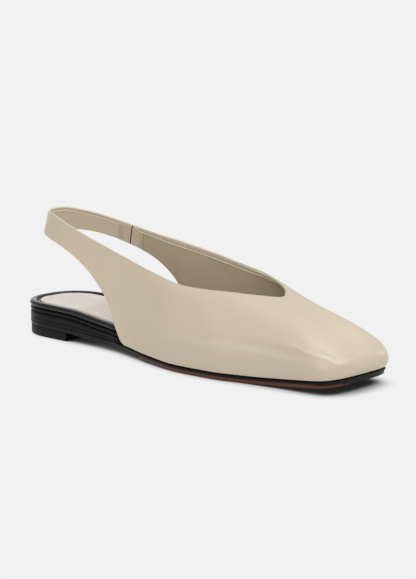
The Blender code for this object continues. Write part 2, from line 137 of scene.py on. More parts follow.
# The edge of each layer: how far it stands back, as a share of the lip's depth, at a share of the
# layer's height
Lip = namedtuple("Lip", "inset share")
RECESS_SHARE = 1 - RECESS / FOOTBED_HEIGHT
GROOVE_EDGE = (RIM_WIDTH - GROOVE_WIDTH) / LIP_DEPTH
BEAD = (Lip(4.0, 0.00), Lip(1.3, 0.00), Lip(0.7, 0.10), Lip(0.3, 0.24), Lip(0.05, 0.42), Lip(0.0, 0.56),
        Lip(0.1, 0.70), Lip(0.35, 0.82), Lip(0.8, 0.92), Lip(1.4, 0.98), Lip(2.1, 1.00),
        Lip(GROOVE_EDGE - 2.0, 0.99), Lip(GROOVE_EDGE - 1.3, 0.94), Lip(GROOVE_EDGE - 0.8, 0.86),
        Lip(GROOVE_EDGE - 0.5, 0.74), Lip(GROOVE_EDGE - 0.3, RECESS_SHARE + 0.08),
        Lip(GROOVE_EDGE - 0.1, RECESS_SHARE + 0.03), Lip(GROOVE_EDGE + 0.2, RECESS_SHARE + 0.13),
        Lip(GROOVE_EDGE + 0.6, RECESS_SHARE + 0.16), Lip(GROOVE_EDGE + 1.0, RECESS_SHARE + 0.10),
        Lip(GROOVE_EDGE + 1.3, RECESS_SHARE), Lip(GROOVE_EDGE + 2.6, RECESS_SHARE))
RIDGE = (Lip(3.0, 0.00), Lip(1.2, 0.02), Lip(0.75, 0.14), Lip(0.55, 0.32), Lip(0.5, 0.52), Lip(0.55, 0.70),
         Lip(0.8, 0.88), Lip(1.4, 0.98), Lip(3.0, 1.00))
BAND = (Lip(3.0, 0.00), Lip(0.66, 0.00), Lip(0.56, 0.04), Lip(0.5, 0.12), Lip(0.5, 0.44), Lip(0.6, 0.47),
        Lip(0.6, 0.50), Lip(0.5, 0.53), Lip(0.5, 0.88), Lip(0.7, 0.96), Lip(1.1, 1.00), Lip(3.0, 1.00))
SOLE_EDGE = (Lip(5.0, 0.00), Lip(2.0, 0.00), Lip(1.3, 0.04), Lip(0.9, 0.12), Lip(0.8, 0.30), Lip(0.7, 0.54),
             Lip(0.5, 0.60), Lip(0.1, 0.66), Lip(0.0, 0.76), Lip(0.0, 0.90), Lip(0.3, 0.98), Lip(1.0, 1.00),
             Lip(4.0, 1.00))
LIFT_EDGE = (Lip(3.0, 0.00), Lip(0.6, 0.00), Lip(0.2, 0.04), Lip(0.0, 0.12), Lip(0.0, 0.95), Lip(0.1, 0.99),
             Lip(0.4, 1.00), Lip(3.0, 1.00))

# The topline from the heel to the V's tip: stations as shares of the length, distances across as
# shares of the topline's width, and heights as shares of the way from the throat to the strap's top
Collar = namedtuple("Collar", "station lateral medial high_lateral high_medial")
TOPLINE = (
    Collar(0.0408, 0.000, 0.000, 1.000, 1.000),
    Collar(0.0498, 0.134, 0.134, 0.992, 0.997),
    Collar(0.0740, 0.254, 0.254, 0.980, 0.952),
    Collar(0.1132, 0.350, 0.343, 0.964, 0.894),
    Collar(0.1698, 0.429, 0.414, 0.880, 0.801),
    Collar(0.2604, 0.468, 0.454, 0.689, 0.669),
    Collar(0.3774, 0.509, 0.486, 0.475, 0.521),
    Collar(0.4906, 0.541, 0.500, 0.282, 0.387),
    Collar(0.5660, 0.536, 0.489, 0.155, 0.289),
    Collar(0.6264, 0.473, 0.454, 0.113, 0.218),
    Collar(0.6830, 0.366, 0.371, 0.096, 0.132),
    Collar(0.7283, 0.214, 0.254, 0.056, 0.062),
    Collar(0.7698, -0.023, 0.023, 0.000, 0.000),
)

# The strap's lower edge and the quarter's rear edge, down to the sole: heights as shares of the
# strap's lower edge at the heel
Rear = namedtuple("Rear", "station across height")
REAR_LATERAL = (
    Rear(0.0309, 0.000, 1.000),
    Rear(0.0415, 0.161, 0.998),
    Rear(0.0660, 0.286, 0.994),
    Rear(0.1057, 0.400, 0.978),
    Rear(0.1623, 0.477, 0.935),
    Rear(0.2264, 0.507, 0.841),
    Rear(0.2868, 0.529, 0.697),
    Rear(0.3396, 0.545, 0.488),
    Rear(0.3679, 0.554, 0.252),
)
REAR_MEDIAL = (
    Rear(0.0309, 0.000, 1.000),
    Rear(0.0415, 0.161, 0.992),
    Rear(0.0660, 0.286, 0.980),
    Rear(0.1057, 0.400, 0.954),
    Rear(0.1660, 0.464, 0.901),
    Rear(0.2415, 0.482, 0.819),
    Rear(0.3019, 0.486, 0.715),
    Rear(0.3560, 0.473, 0.557),
    Rear(0.3880, 0.446, 0.341),
)
QUARTER_FOOT = {LATERAL: 0.3906, MEDIAL: 0.4110}
QUARTER_TOP = 0.362

# How a rib of the upper runs from the topline to the lower edge: along is 0 at the heel, 1 at the
# quarter's foot and 2 at the toe, and the bulge is a share of the toe's
Rib = namedtuple("Rib", "along fall round bulge")
RIBS = (
    Rib(0.00, 1.00, 1.00, 0.07),
    Rib(0.50, 1.00, 1.05, 0.14),
    Rib(1.00, 1.15, 1.30, 0.27),
    Rib(1.35, 1.60, 1.80, 0.32),
    Rib(1.60, 1.44, 1.97, 0.45),
    Rib(1.82, 1.04, 1.97, 0.82),
    Rib(2.00, 0.93, 1.97, 1.00),
)
REAR_PAIRS = ((0.00, 0.00), (0.35, 0.485), (0.421, 0.605), (0.512, 0.70), (0.68, 0.815), (0.90, 0.935),
              (1.00, 1.00))
FAN = 1.45
TIP_ROUND = 0.0058
FOOT_ROUND = 0.0050

# Where along the shoe a form comes in and goes out again, and what share of it is kept after
Span = namedtuple("Span", "start full ease end keep")

# The inner side's ribs fall steeper beside the throat and fuller beside the toe
STEEPER = 0.34
STEEPER_SPAN = Span(1.00, 1.25, 1.28, 1.64, 0.0)
FULLER = 0.10
FULLER_SPAN = Span(1.64, 1.80, 1.88, 1.99, 0.0)

# The leather's edges: where the quarter's rear edge gives way to the cut edge on the sole, how far
# back and how deep that cut is, how narrow the facing is on the strap, and where it widens
FOOT_CHANGE = (0.985, 1.01)
CUT_BACK = 0.0002
CUT_DEPTH = 0.9
STRAP_FACING = 0.68
FACING_GROWTH = (0.30, 1.0)

# How much lighter the stretched leather is beside a fold, on the topline's fold and at the lower edge,
# partly a painted highlight on the folds
EDGE_GLOW = 0.2
EDGE_GLOW_WIDTH = 0.0008
FOLD_GLOW = 0.7
LOW_GLOW = 0.6

# How the facing ends inside the topline: how far each point stands back from its end, how deep it is
# sunk under the facing's face, and how shaded it is
FacingPoint = namedtuple("FacingPoint", "back sunk shaded")
FACING_END = (FacingPoint(0.0, 0.0003, 1.0), FacingPoint(0.0002, 0.0001, 0.9),
              FacingPoint(0.0006, 0.0, 0.45))
FACING_SHADE = 0.35
FOLD_SHADE = 0.3

# The side of the vamp is a little darker towards the sole: painted shade near the floor
PAINTED_SHADE_ALONG = (0.95, 1.15)
PAINTED_SHADE_HEIGHT = (0.002, 0.026)

# The lining: its gap to the leather, how deep it goes beside the sock, and how its foot curls in
LINING_GAP = 0.0001
LINING_TUCK = 0.0004
LINING_CURL = (0.0004, 0.0012, 0.0027)
LINING_CHANGE = (0.96, 1.0)
STRAP_LINING_END = (0.10, 0.11)
STRAP_LINING_FADE = 0.012
STITCH_BACK = 0.0009

# The cut in the inner strap: its place, the ribs close beside it, its rolled end, and the leather's
# soft waves beside it
SEAM_ALONG = 0.421
SEAM_STEPS = (0.0, 0.00012, 0.0003, 0.0006, 0.0010, 0.0016, 0.0023)
SEAM_CLEAR = 0.3
SEAM_ROLL = 0.0006
Wave = namedtuple("Wave", "away width share")
SEAM_WAVES = (Wave(0.0048, 0.0019, 1.00), Wave(0.0105, 0.0022, 0.45))

# The elastic patch inside the strap: its ends, its height and rounded rim, the gathers at its back,
# the swelling beside the cut, and how it thins out to the front
ELASTIC_BACK = 0.35
ELASTIC_FRONT = 0.512
PATCH_HEIGHT = 0.0004
PATCH_MARGIN = 0.0006
PATCH_RIM = 0.0004
PATCH_ROUND = 0.00025
PATCH_SHADE = 0.93
PATCH_FADE = (0.45, 0.97)
GATHER_HEIGHT = 0.00042
GATHER_REACH = 0.45
GATHER_FULLNESS = 0.4
SWELLING_HEIGHT = 0.0003
SWELLING_AWAY = 0.003
SWELLING_WIDTH = 0.0016
TAPER_HEIGHT = 0.00038
TAPER_START = 0.35
CORE_REACH = 0.015
CORE_DEPTH = 0.0007
CORE_SUNK = 0.0002
CORE_MARGIN = 0.0007

# Where the square toe's ridge runs: how far down the wall it lies at places along the shoe
Crest = namedtuple("Crest", "along down")
RIDGE_LINE = (Crest(1.40, 0.690), Crest(1.70, 0.675), Crest(1.79, 0.690), Crest(1.83, 0.735),
              Crest(1.865, 0.792), Crest(1.89, 0.838), Crest(1.93, 0.828), Crest(2.00, 0.800))

RIDGE_SPAN = Span(1.36, 1.84, 1.90, 1.97, 0.5)
RIDGE_FADE = 0.002

# The ridge's section, in shares of the wall: its width, its blunt crown, its reach, and the trough
# above it
RIDGE_WIDTH = 0.055
RIDGE_CROWN = 0.25
RIDGE_REACH = 0.085
TROUGH_DEPTH = 0.05
TROUGH_ABOVE = 0.17
TROUGH_WIDTH = 0.07

# At the inner side the ridge is softer: what share is kept, and how far from the toe's middle
INNER_RIDGE = 0.5
INNER_CHANGE = (0.03, 0.11)

# Painted highlights on the toe's ridge: a light line on its crest and a soft light band under it
LINE_SPAN = Span(1.70, 1.84, 1.89, 1.95, 0.25)
CREST_HIGHLIGHT = 0.70
LINE_WIDTH = 0.015
BAND_LINE = (Crest(1.20, 0.720), Crest(1.56, 0.745), Crest(1.70, 0.775), Crest(1.87, 0.830))
BAND_SPAN = Span(1.20, 1.60, 1.70, 1.86, 0.0)
BAND_HIGHLIGHT = 0.42
BAND_WIDTH = 0.036

# The sock: its rounded rim, and its faint creases over the heel
SOCK_ROUND = 0.0009
CREASE_HEIGHT = 0.00014
CREASE_RATE = 310
CREASE_SWAY = 2.2
SWAY_RATE = 120
CREASE_MIDDLE = 0.045
CREASE_REACH = 0.03

# The sole's edge at the heel, the inking's soft border, and where the black covers the inner toe corner as
# painted shade
HEEL_SQUEEZE = 0.35
INK_SOFTNESS = 0.03
INNER_INK = (0.970, 0.988)
INNER_INK_DROP = 0.6
SHARP_ANGLE = 50

# How finely the forms are drawn
HEEL_STEPS = 26
SIDE_STEPS = 110
TOE_STEPS = 26
REAR_RIBS = 100
FRONT_RIBS = 150
DENSE_ROWS = 220
OUTER_ROWS = 86
FOLD_STEPS = 11
TURN_STEPS = 9
BACK_STEPS = 10
LINING_ROWS = 44
PANEL_COLUMNS = 40
PANEL_LINES = 26
SOCK_COLUMNS = 40
HALVINGS = 40
ALONG_STEP = 0.004
EDGE_NEIGHBOURS = 40
TINY = 1e-12

# The photograph's frame, and where the camera's solved middle and this view's middle lie in it
FRAME_HEIGHT_PX = 579
PHOTO_SCALE = 1324.0
SOLVED_PX = (148.9, 435.8)
VIEW_PX = (163.0, 384.0)
SENSOR = 0.036
CLIP_START = 0.02
LOOK_STATION = 0.131

# The floor, set off to one side so that its diagonal doesn't pass under the shoe
FLOOR_REACH = 90.0
FLOOR_SHIFT = 30.0
FLOOR_LEVEL = -0.00005

# The floor's contact shadow: how far it reaches, which way the light comes from, how much shelter
# makes it full or leaves none, and how dark it is
SHADOW_REACH = 0.024
SHADOW_TILT = (-0.38, 0.00, 0.92)
SHADOW_FULL = 0.15
SHADOW_NONE = 0.64
SHADOW_DARK = 0.02

# The backdrop is darker behind the heel's end, and plain from a share of the way on
BACKDROP_SHADE = (0.44, 0.44, 0.45, 1.0)
BACKDROP_PLAIN = 0.60

# The studio's soft lights: place, aim, and width and height
Lamp = namedtuple("Lamp", "name place aim size")
LAMPS = (
    Lamp("key", (0.35, 0.50, 1.20), (0.10, 0.0, 0.0), (0.9, 0.7)),
    Lamp("side", (0.75, -0.60, 0.70), (0.12, 0.0, 0.02), (0.7, 0.4)),
    Lamp("rim", (-0.90, 0.62, 0.20), (-0.02, 0.0, 0.02), (0.7, 0.16)),
)


class ShoeSizes(bpy.types.PropertyGroup):
    """Sizes of the dressed shoe that a maker would change."""

    edge_thickness: FloatProperty(
        name="Edge thickness", description="Thickness of the folded edge of the upper",
        default=0.0016, min=0.0008, max=0.0018, unit="LENGTH")
    leather_thickness: FloatProperty(
        name="Leather thickness", description="Thickness of the outer leather under the lining",
        default=0.0010, min=0.0005, max=0.0015, unit="LENGTH")
    facing_width: FloatProperty(
        name="Facing width", description="How far the outer leather is turned over inside the topline",
        default=0.0033, min=0.002, max=0.008, unit="LENGTH")
    rear_turn: FloatProperty(
        name="Rear turn", description="How far the leather is turned over at the strap's lower edge",
        default=0.0011, min=0.0005, max=0.004, unit="LENGTH")
    seam_gap: FloatProperty(
        name="Seam gap", description="Width of the cut in the inner strap, over the elastic",
        default=0.0009, min=0.0002, max=0.002, unit="LENGTH")
    pucker: FloatProperty(
        name="Pucker", description="Height of the leather's soft waves beside the elastic seam",
        default=0.0004, min=0.0, max=0.001, unit="LENGTH")
    piping_radius: FloatProperty(
        name="Piping radius", description="Radius of the thin roll that ends the lining",
        default=0.00034, min=0.0001, max=0.001, unit="LENGTH")
    stitch_pitch: FloatProperty(
        name="Stitch pitch", description="Distance from one stitch to the next",
        default=0.0026, min=0.0015, max=0.006, unit="LENGTH")
    stitch_length: FloatProperty(
        name="Stitch length", description="Length of one stitch",
        default=0.0019, min=0.001, max=0.005, unit="LENGTH")
    thread_radius: FloatProperty(
        name="Thread radius", description="Radius of the sewing thread",
        default=0.00010, min=0.00005, max=0.0006, unit="LENGTH")
    elastic_cords: IntProperty(
        name="Elastic cords", description="Number of gathered ribs on the elastic's inner face",
        default=7, min=3, max=20)
    toe_ridge: FloatProperty(
        name="Toe ridge", description="How far the leather stands out along the edge of the square toe",
        default=0.00085, min=0.0, max=0.002, unit="LENGTH")


class ShoeColours(bpy.types.PropertyGroup):
    """Colours of the shoe's finishes."""

    leather: FloatVectorProperty(
        name="Leather", description="Cream calf of the upper", subtype="COLOR", size=4,
        default=(0.62, 0.52, 0.386, 1.0), min=0.0, max=1.0)
    # Lighter calf where stretched over a fold, also used for the painted highlights on folds and toe ridge
    leather_edge: FloatVectorProperty(
        name="Leather edge", description="Cream calf where it is stretched over a fold", subtype="COLOR",
        size=4, default=(0.74, 0.65, 0.51, 1.0), min=0.0, max=1.0)
    lining: FloatVectorProperty(
        name="Lining", description="Lining leather of the vamp and quarters", subtype="COLOR", size=4,
        default=(0.445, 0.365, 0.243, 1.0), min=0.0, max=1.0)
    strap_lining: FloatVectorProperty(
        name="Strap lining", description="Leather inside the strap and on the elastic", subtype="COLOR",
        size=4, default=(0.60, 0.50, 0.375, 1.0), min=0.0, max=1.0)
    sock: FloatVectorProperty(
        name="Sock", description="Pale leather that the foot stands on", subtype="COLOR", size=4,
        default=(0.70, 0.64, 0.555, 1.0), min=0.0, max=1.0)
    piping: FloatVectorProperty(
        name="Piping", description="Light roll at the lining's edge", subtype="COLOR", size=4,
        default=(0.80, 0.74, 0.60, 1.0), min=0.0, max=1.0)
    elastic: FloatVectorProperty(
        name="Elastic", description="Elastic seen in the seam's cut", subtype="COLOR", size=4,
        default=(0.020, 0.018, 0.018, 1.0), min=0.0, max=1.0)
    black: FloatVectorProperty(
        name="Black edge", description="Black polish of the heel and of the sole's edge", subtype="COLOR",
        size=4, default=(0.0045, 0.0045, 0.0045, 1.0), min=0.0, max=1.0)
    sole: FloatVectorProperty(
        name="Sole", description="Red-brown leather of the sole", subtype="COLOR", size=4,
        default=(0.115, 0.042, 0.022, 1.0), min=0.0, max=1.0)
    floor: FloatVectorProperty(
        name="Floor", description="Pale studio floor", subtype="COLOR", size=4,
        default=(0.80, 0.80, 0.80, 1.0), min=0.0, max=1.0)
    backdrop: FloatVectorProperty(
        name="Backdrop", description="Pale studio wall", subtype="COLOR", size=4,
        default=(0.880, 0.880, 0.880, 1.0), min=0.0, max=1.0)


class ShoeStage(bpy.types.PropertyGroup):
    """The camera's place and the studio's lights."""

    azimuth: FloatProperty(
        name="Azimuth", description="Camera's angle round the shoe", default=math.radians(43.4),
        subtype="ANGLE")
    elevation: FloatProperty(
        name="Elevation", description="Camera's height over the floor, as an angle",
        default=math.radians(12.4), subtype="ANGLE")
    distance: FloatProperty(
        name="Distance", description="Camera's distance from the middle of the shoe", default=1.0,
        unit="LENGTH")
    zoom: FloatProperty(
        name="Zoom", description="Enlargement over the photograph's own scale", default=1.24)
    key_power: FloatProperty(
        name="Key power", description="Power of the large soft light overhead", default=4.0)
    side_power: FloatProperty(
        name="Side power", description="Power of the long soft light at the side", default=1.7)
    rim_power: FloatProperty(
        name="Rim power", description="Power of the low light behind the heel", default=0.45)


def smooth_value(points, x):
    """Monotone cubic through (x, y) pairs, level beyond the ends."""
    if x <= points[0][0]:
        return points[0][1]
    if x >= points[-1][0]:
        return points[-1][1]
    steps = [(b[1] - a[1]) / (b[0] - a[0]) for a, b in zip(points, points[1:])]
    slopes = [steps[0]]
    for before, after in zip(steps, steps[1:]):
        if before * after <= 0:
            slopes.append(0.0)
        else:
            slopes.append(2 * before * after / (before + after))
    slopes.append(steps[-1])
    index = max(i for i in range(len(points) - 1) if points[i][0] <= x)
    (x0, y0), (x1, y1) = points[index], points[index + 1]
    span = x1 - x0
    t = (x - x0) / span
    return (
        y0 * (2 * t ** 3 - 3 * t ** 2 + 1)
        + slopes[index] * span * (t ** 3 - 2 * t ** 2 + t)
        + y1 * (3 * t ** 2 - 2 * t ** 3)
        + slopes[index + 1] * span * (t ** 3 - t ** 2)
    )


def smooth_step(x, low, high):
    """0 below low, 1 above high, and a soft rise between."""
    t = np.clip((x - low) / (high - low), 0.0, 1.0)
    return t * t * (3 - 2 * t)


def within(along, span):
    """How much of a form is there at a place along the shoe, with a soft rise and a soft fall."""
    fall = smooth_step(along, span.ease, span.end)
    return float(smooth_step(along, span.start, span.full) * (1 - (1 - span.keep) * fall))


def hump(away, width):
    """1 in the middle of a soft round hump, falling to nothing on both sides."""
    return np.exp(-(away / width) ** 2)


def share_at(levels, x):
    """Share of a table of levels at a distance from the heel."""
    return smooth_value([(row.station * LENGTH, row.share) for row in levels], x)


class Path:
    """Smooth curve through points, read by the share of its length."""

    STEPS = 12

    def __init__(self, points):
        self.points = np.array(self._curve([Vector(point) for point in points]))
        pieces = np.linalg.norm(np.diff(self.points, axis=0), axis=1)
        self.reach = np.concatenate([[0.0], np.cumsum(pieces)])

    def _curve(self, knots):
        first = knots[0] * 2 - knots[1]
        last = knots[-1] * 2 - knots[-2]
        padded = [first] + knots + [last]
        curve = []
        for p0, p1, p2, p3 in zip(padded, padded[1:], padded[2:], padded[3:]):
            for step in range(self.STEPS):
                t = step / self.STEPS
                curve.append(0.5 * (
                    2 * p1 + (p2 - p0) * t
                    + (2 * p0 - 5 * p1 + 4 * p2 - p3) * t ** 2
                    + (3 * p1 - p0 - 3 * p2 + p3) * t ** 3))
        curve.append(knots[-1])
        return curve

    def at(self, share):
        goal = min(max(share, 0.0), 1.0) * self.reach[-1]
        return np.array([np.interp(goal, self.reach, self.points[:, axis]) for axis in range(3)])


def half_width(side, x):
    """Distance from the middle line to the sole's edge, before the heel and toe are rounded."""
    if side == LATERAL:
        rows = [(row.station * LENGTH, row.lateral * row.width) for row in OUTLINE]
    else:
        rows = [(row.station * LENGTH, row.medial * row.width) for row in OUTLINE]
    return smooth_value(rows, x)


def side_points(side, end):
    """Points of one side of the sole's outline, from the heel's back to the toe or to a station."""
    points = []
    for step in range(HEEL_STEPS):
        angle = math.pi / 2 * step / HEEL_STEPS
        x = HEEL_ROUND * (1 - math.cos(angle) ** (2 / HEEL_FULLNESS))
        reach = math.sin(angle) ** (2 / HEEL_FULLNESS)
        points.append((x, side * half_width(side, HEEL_ROUND) * reach))
    straight_end = min(end, LENGTH - TOE_ROUND)
    steps = round(SIDE_STEPS * (straight_end - HEEL_ROUND) / (LENGTH - HEEL_ROUND))
    for step in range(steps + 1):
        x = HEEL_ROUND + (straight_end - HEEL_ROUND) * step / steps
        points.append((x, side * half_width(side, x)))
    if end >= LENGTH:
        for step in range(1, TOE_STEPS + 1):
            angle = math.pi / 2 * step / TOE_STEPS
            x = LENGTH - TOE_ROUND + TOE_ROUND * math.sin(angle) ** (2 / TOE_SQUARENESS)
            reach = max(math.cos(angle), 0.0) ** (2 / TOE_SQUARENESS)
            points.append((x, TOE_CENTRE + (side * half_width(side, x) - TOE_CENTRE) * reach))
        points[-1] = (LENGTH, TOE_CENTRE)
    return points


def sole_bottom(x):
    return LIFT_HEIGHT * share_at(HEEL_PITCH, x) + TOE_SPRING * share_at(TOE_LIFT, x)


def sole_top(x):
    growth = share_at(SOLE_GROWTH, x)
    return sole_bottom(x) + HEEL_SOLE + (FOREFOOT_SOLE - HEEL_SOLE) * growth


def wedge_top(x):
    return sole_top(x) + (WEDGE_HEIGHT + GAP) * share_at(WEDGE_FALL, x)


def rand_top(x):
    return wedge_top(x) + (RAND_HEIGHT + GAP) * share_at(RAND_FALL, x)


def footbed_top(x):
    return rand_top(x) + GAP + FOOTBED_HEIGHT


def recess_floor(x):
    return footbed_top(x) - RECESS


def sock_top(x):
    return recess_floor(x) + GAP + SOCK_HEIGHT


def over(level):
    """The underside of what lies on a level."""
    return lambda x: level(x) + GAP


def rear_path(side):
    """The strap's lower edge and the quarter's rear edge, down to the sole."""
    low = STRAP_HEIGHT - STRAP_WIDTH
    rows = REAR_LATERAL if side == LATERAL else REAR_MEDIAL
    points = [(row.station * LENGTH, side * row.across * TOPLINE_WIDTH, row.height * low) for row in rows]
    foot = QUARTER_FOOT[side] * LENGTH
    points.append((foot, side * half_width(side, foot), sole_top(foot) + FEATHER_GAP))
    return Path(points)


def topline_path(side):
    drop = STRAP_HEIGHT - THROAT_HEIGHT
    points = []
    for row in TOPLINE:
        across = row.lateral if side == LATERAL else row.medial
        high = row.high_lateral if side == LATERAL else row.high_medial
        points.append((row.station * LENGTH, side * across * TOPLINE_WIDTH, THROAT_HEIGHT + drop * high))
    return Path(points)


def feather_path(side):
    """The upper's lower edge, from the quarter's foot to the middle of the toe."""
    foot = QUARTER_FOOT[side] * LENGTH
    points = [(foot, side * half_width(side, foot), sole_top(foot) + FEATHER_GAP)]
    for x, y in side_points(side, LENGTH):
        if x > foot + LENGTH / SIDE_STEPS / 2:
            points.append((x, y, sole_top(x) + FEATHER_GAP))
    return Path(points)


def share_of_station(path, station):
    """Share of a path's length at which it passes a station."""
    low, high = 0.0, 1.0
    for _ in range(HALVINGS):
        middle = (low + high) / 2
        if path.at(middle)[0] < station:
            low = middle
        else:
            high = middle
    return (low + high) / 2


class UpperForm:
    """The upper's outer surface, read rib by rib."""

    def __init__(self):
        self.rear = {side: rear_path(side) for side in (LATERAL, MEDIAL)}
        self.top = {side: topline_path(side) for side in (LATERAL, MEDIAL)}
        self.feather = {side: feather_path(side) for side in (LATERAL, MEDIAL)}
        self.quarter_top = {
            side: share_of_station(self.top[side], QUARTER_TOP * LENGTH) for side in (LATERAL, MEDIAL)
        }

    def ends(self, side, along):
        """Where a rib starts on the topline and where it ends on the lower edge."""
        rear, feather = self.rear[side], self.feather[side]
        if along <= 1:
            share = smooth_value(REAR_PAIRS, along)
            low = self.round_corner(rear, 1 - along, feather.at(FOOT_ROUND / feather.reach[-1]), FOOT_ROUND)
            return self.top[side].at(self.quarter_top[side] * share), low
        ahead = along - 1
        start = self.quarter_top[side]
        fan = 1 - max(1 - ahead, 0.0) ** FAN
        other = self.top[-side].at(1 - TIP_ROUND / self.top[-side].reach[-1])
        top = self.round_corner(self.top[side], (1 - start) * (1 - fan), other, TIP_ROUND)
        behind = rear.at(1 - FOOT_ROUND / rear.reach[-1])
        return top, self.round_corner(feather, ahead, behind, FOOT_ROUND, from_start=True)

    def round_corner(self, path, gap, other, reach, from_start=False):
        """Point at a share of a path's length from its corner.

        Within reach of the corner the path is rounded towards a point on another edge.
        """
        length = path.reach[-1]
        away = gap * length / reach
        if away >= 1:
            return path.at(gap if from_start else 1 - gap)
        own = path.at(reach / length if from_start else 1 - reach / length)
        corner = path.at(0.0 if from_start else 1.0)
        near, far = (1 + away) / 2, (1 - away) / 2
        return near ** 2 * own + 2 * near * far * corner + far ** 2 * other

    def outward(self, side, along):
        """Level direction away from the foot at the lower edge."""
        before = self.ends(side, max(along - ALONG_STEP, 0.0))[1]
        after = self.ends(side, min(along + ALONG_STEP, RIBS[-1].along))[1]
        run = after - before
        normal = np.array([run[1], -run[0], 0.0]) * -side
        return normal / np.linalg.norm(normal)

    def rib(self, side, along, downs):
        """Points down the wall at one place along the shoe."""
        top, low = self.ends(side, along)
        fall = smooth_value([(row.along, row.fall) for row in RIBS], along)
        if side == MEDIAL:
            fall += FULLER * within(along, FULLER_SPAN) - STEEPER * within(along, STEEPER_SPAN)
        round_off = smooth_value([(row.along, row.round) for row in RIBS], along)
        bulge = TOE_BULGE * smooth_value([(row.along, row.bulge) for row in RIBS], along)
        angle = math.pi / 2 * downs
        across = np.sin(angle) ** (2 / fall)
        height = np.maximum(np.cos(angle), 0.0) ** (2 / round_off)
        points = top + (low - top) * across[:, None]
        points[:, 2] = low[2] + (top[2] - low[2]) * height
        return points + self.outward(side, along) * (bulge * np.sin(math.pi * downs ** 3))[:, None]


class Wall:
    """A run of the upper's ribs, from which sheets at any depth are read."""

    def __init__(self, form, places):
        downs = np.linspace(0.0, 1.0, DENSE_ROWS)
        self.places = places
        self.surface = np.array([form.rib(side, along, downs) for side, along in places])
        self.surface[:, :, 0] -= TREAD_CENTRE
        self.inward = self._inward()
        lengths = np.linalg.norm(np.diff(self.surface, axis=1), axis=2)
        self.reach = np.concatenate([np.zeros((len(places), 1)), np.cumsum(lengths, axis=1)], axis=1)
        self.from_top = np.maximum.accumulate(self._distances(self.surface[:, 0]), axis=1)
        from_low = self._distances(self.surface[:, -1])
        self.from_low = np.maximum.accumulate(from_low[:, ::-1], axis=1)

    def _inward(self):
        run = np.gradient(self.surface, axis=0)
        fall = np.gradient(self.surface, axis=1)
        normal = np.cross(run, fall)
        size = np.linalg.norm(normal, axis=2, keepdims=True)
        return normal / np.maximum(size, TINY)

    def _distances(self, edge):
        """Distance of every point from an edge of the wall."""
        count = len(self.places)
        best = np.full(self.surface.shape[:2], np.inf)
        for shift in range(-EDGE_NEIGHBOURS, EDGE_NEIGHBOURS):
            first = np.clip(np.arange(count) + shift, 0, count - 2)
            start = edge[first][:, None]
            run = (edge[first + 1] - edge[first])[:, None]
            share = ((self.surface - start) * run).sum(2) / np.maximum((run * run).sum(2), TINY)
            near = start + np.clip(share, 0.0, 1.0)[..., None] * run
            best = np.minimum(best, np.linalg.norm(self.surface - near, axis=2))
        return best

    def down_from_top(self, index, distances):
        """How far down a rib the wall is at distances from the topline."""
        return np.interp(distances, self.from_top[index], self.reach[index])

    def down_from_low(self, index, distances):
        """How far down a rib the wall is at distances from the lower edge."""
        return np.interp(distances, self.from_low[index], self.reach[index][::-1])

    def read(self, index, reaches, depths):
        """Points at distances down a rib and depths inside the outer surface."""
        columns = []
        for axis in range(3):
            place = np.interp(reaches, self.reach[index], self.surface[index][:, axis])
            inward = np.interp(reaches, self.reach[index], self.inward[index][:, axis])
            columns.append(place + inward * depths)
        return np.stack(columns, axis=-1)


def add_object(name, data):
    """New object for a mesh, a light or a camera, linked to the scene."""
    item = bpy.data.objects.new(name, data)
    bpy.context.scene.collection.objects.link(item)
    return item


def object_from_shape(name, shape):
    """New smooth object from a closed shape, with its faces turned outwards."""
    bmesh.ops.recalc_face_normals(shape, faces=shape.faces)
    mesh = bpy.data.meshes.new(name)
    shape.to_mesh(mesh)
    shape.free()
    mesh.shade_smooth()
    return add_object(name, mesh)


def object_from_rows(name, rows):
    """Closed mesh object from rows of points, each row a ring, with its first and last ring capped."""
    count, width = rows.shape[:2]
    shape = bmesh.new()
    made = [shape.verts.new(point) for point in rows.reshape(-1, 3)]
    for row in range(count - 1):
        for column in range(width):
            after = (column + 1) % width
            shape.faces.new((made[row * width + column], made[row * width + after],
                             made[(row + 1) * width + after], made[(row + 1) * width + column]))
    shape.faces.new(made[:width])
    shape.faces.new(made[-width:][::-1])
    return object_from_shape(name, shape)


def keep_values(item, name, values):
    """Store one number for each vertex of a mesh."""
    attribute = item.data.attributes.new(name, "FLOAT", "POINT")
    attribute.data.foreach_set("value", np.asarray(values, np.float32).ravel())


def sharpen(item, degrees):
    item.data.set_sharp_from_angle(angle=math.radians(degrees))


def finish_piece(item, slot, *nodes):
    """Put a finished piece on the shoe's body, in the place of the nodes that it stands for."""
    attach(item, "root")
    if nodes:
        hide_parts(*nodes)


class NodeBuilder:
    """What the builders of a material's nodes and of a geometry tree's nodes share."""

    def add(self, kind, **settings):
        node = self.tree.nodes.new(kind)
        for key, value in settings.items():
            setattr(node, key, value)
        return node

    def link(self, output, socket):
        self.tree.links.new(output, socket)


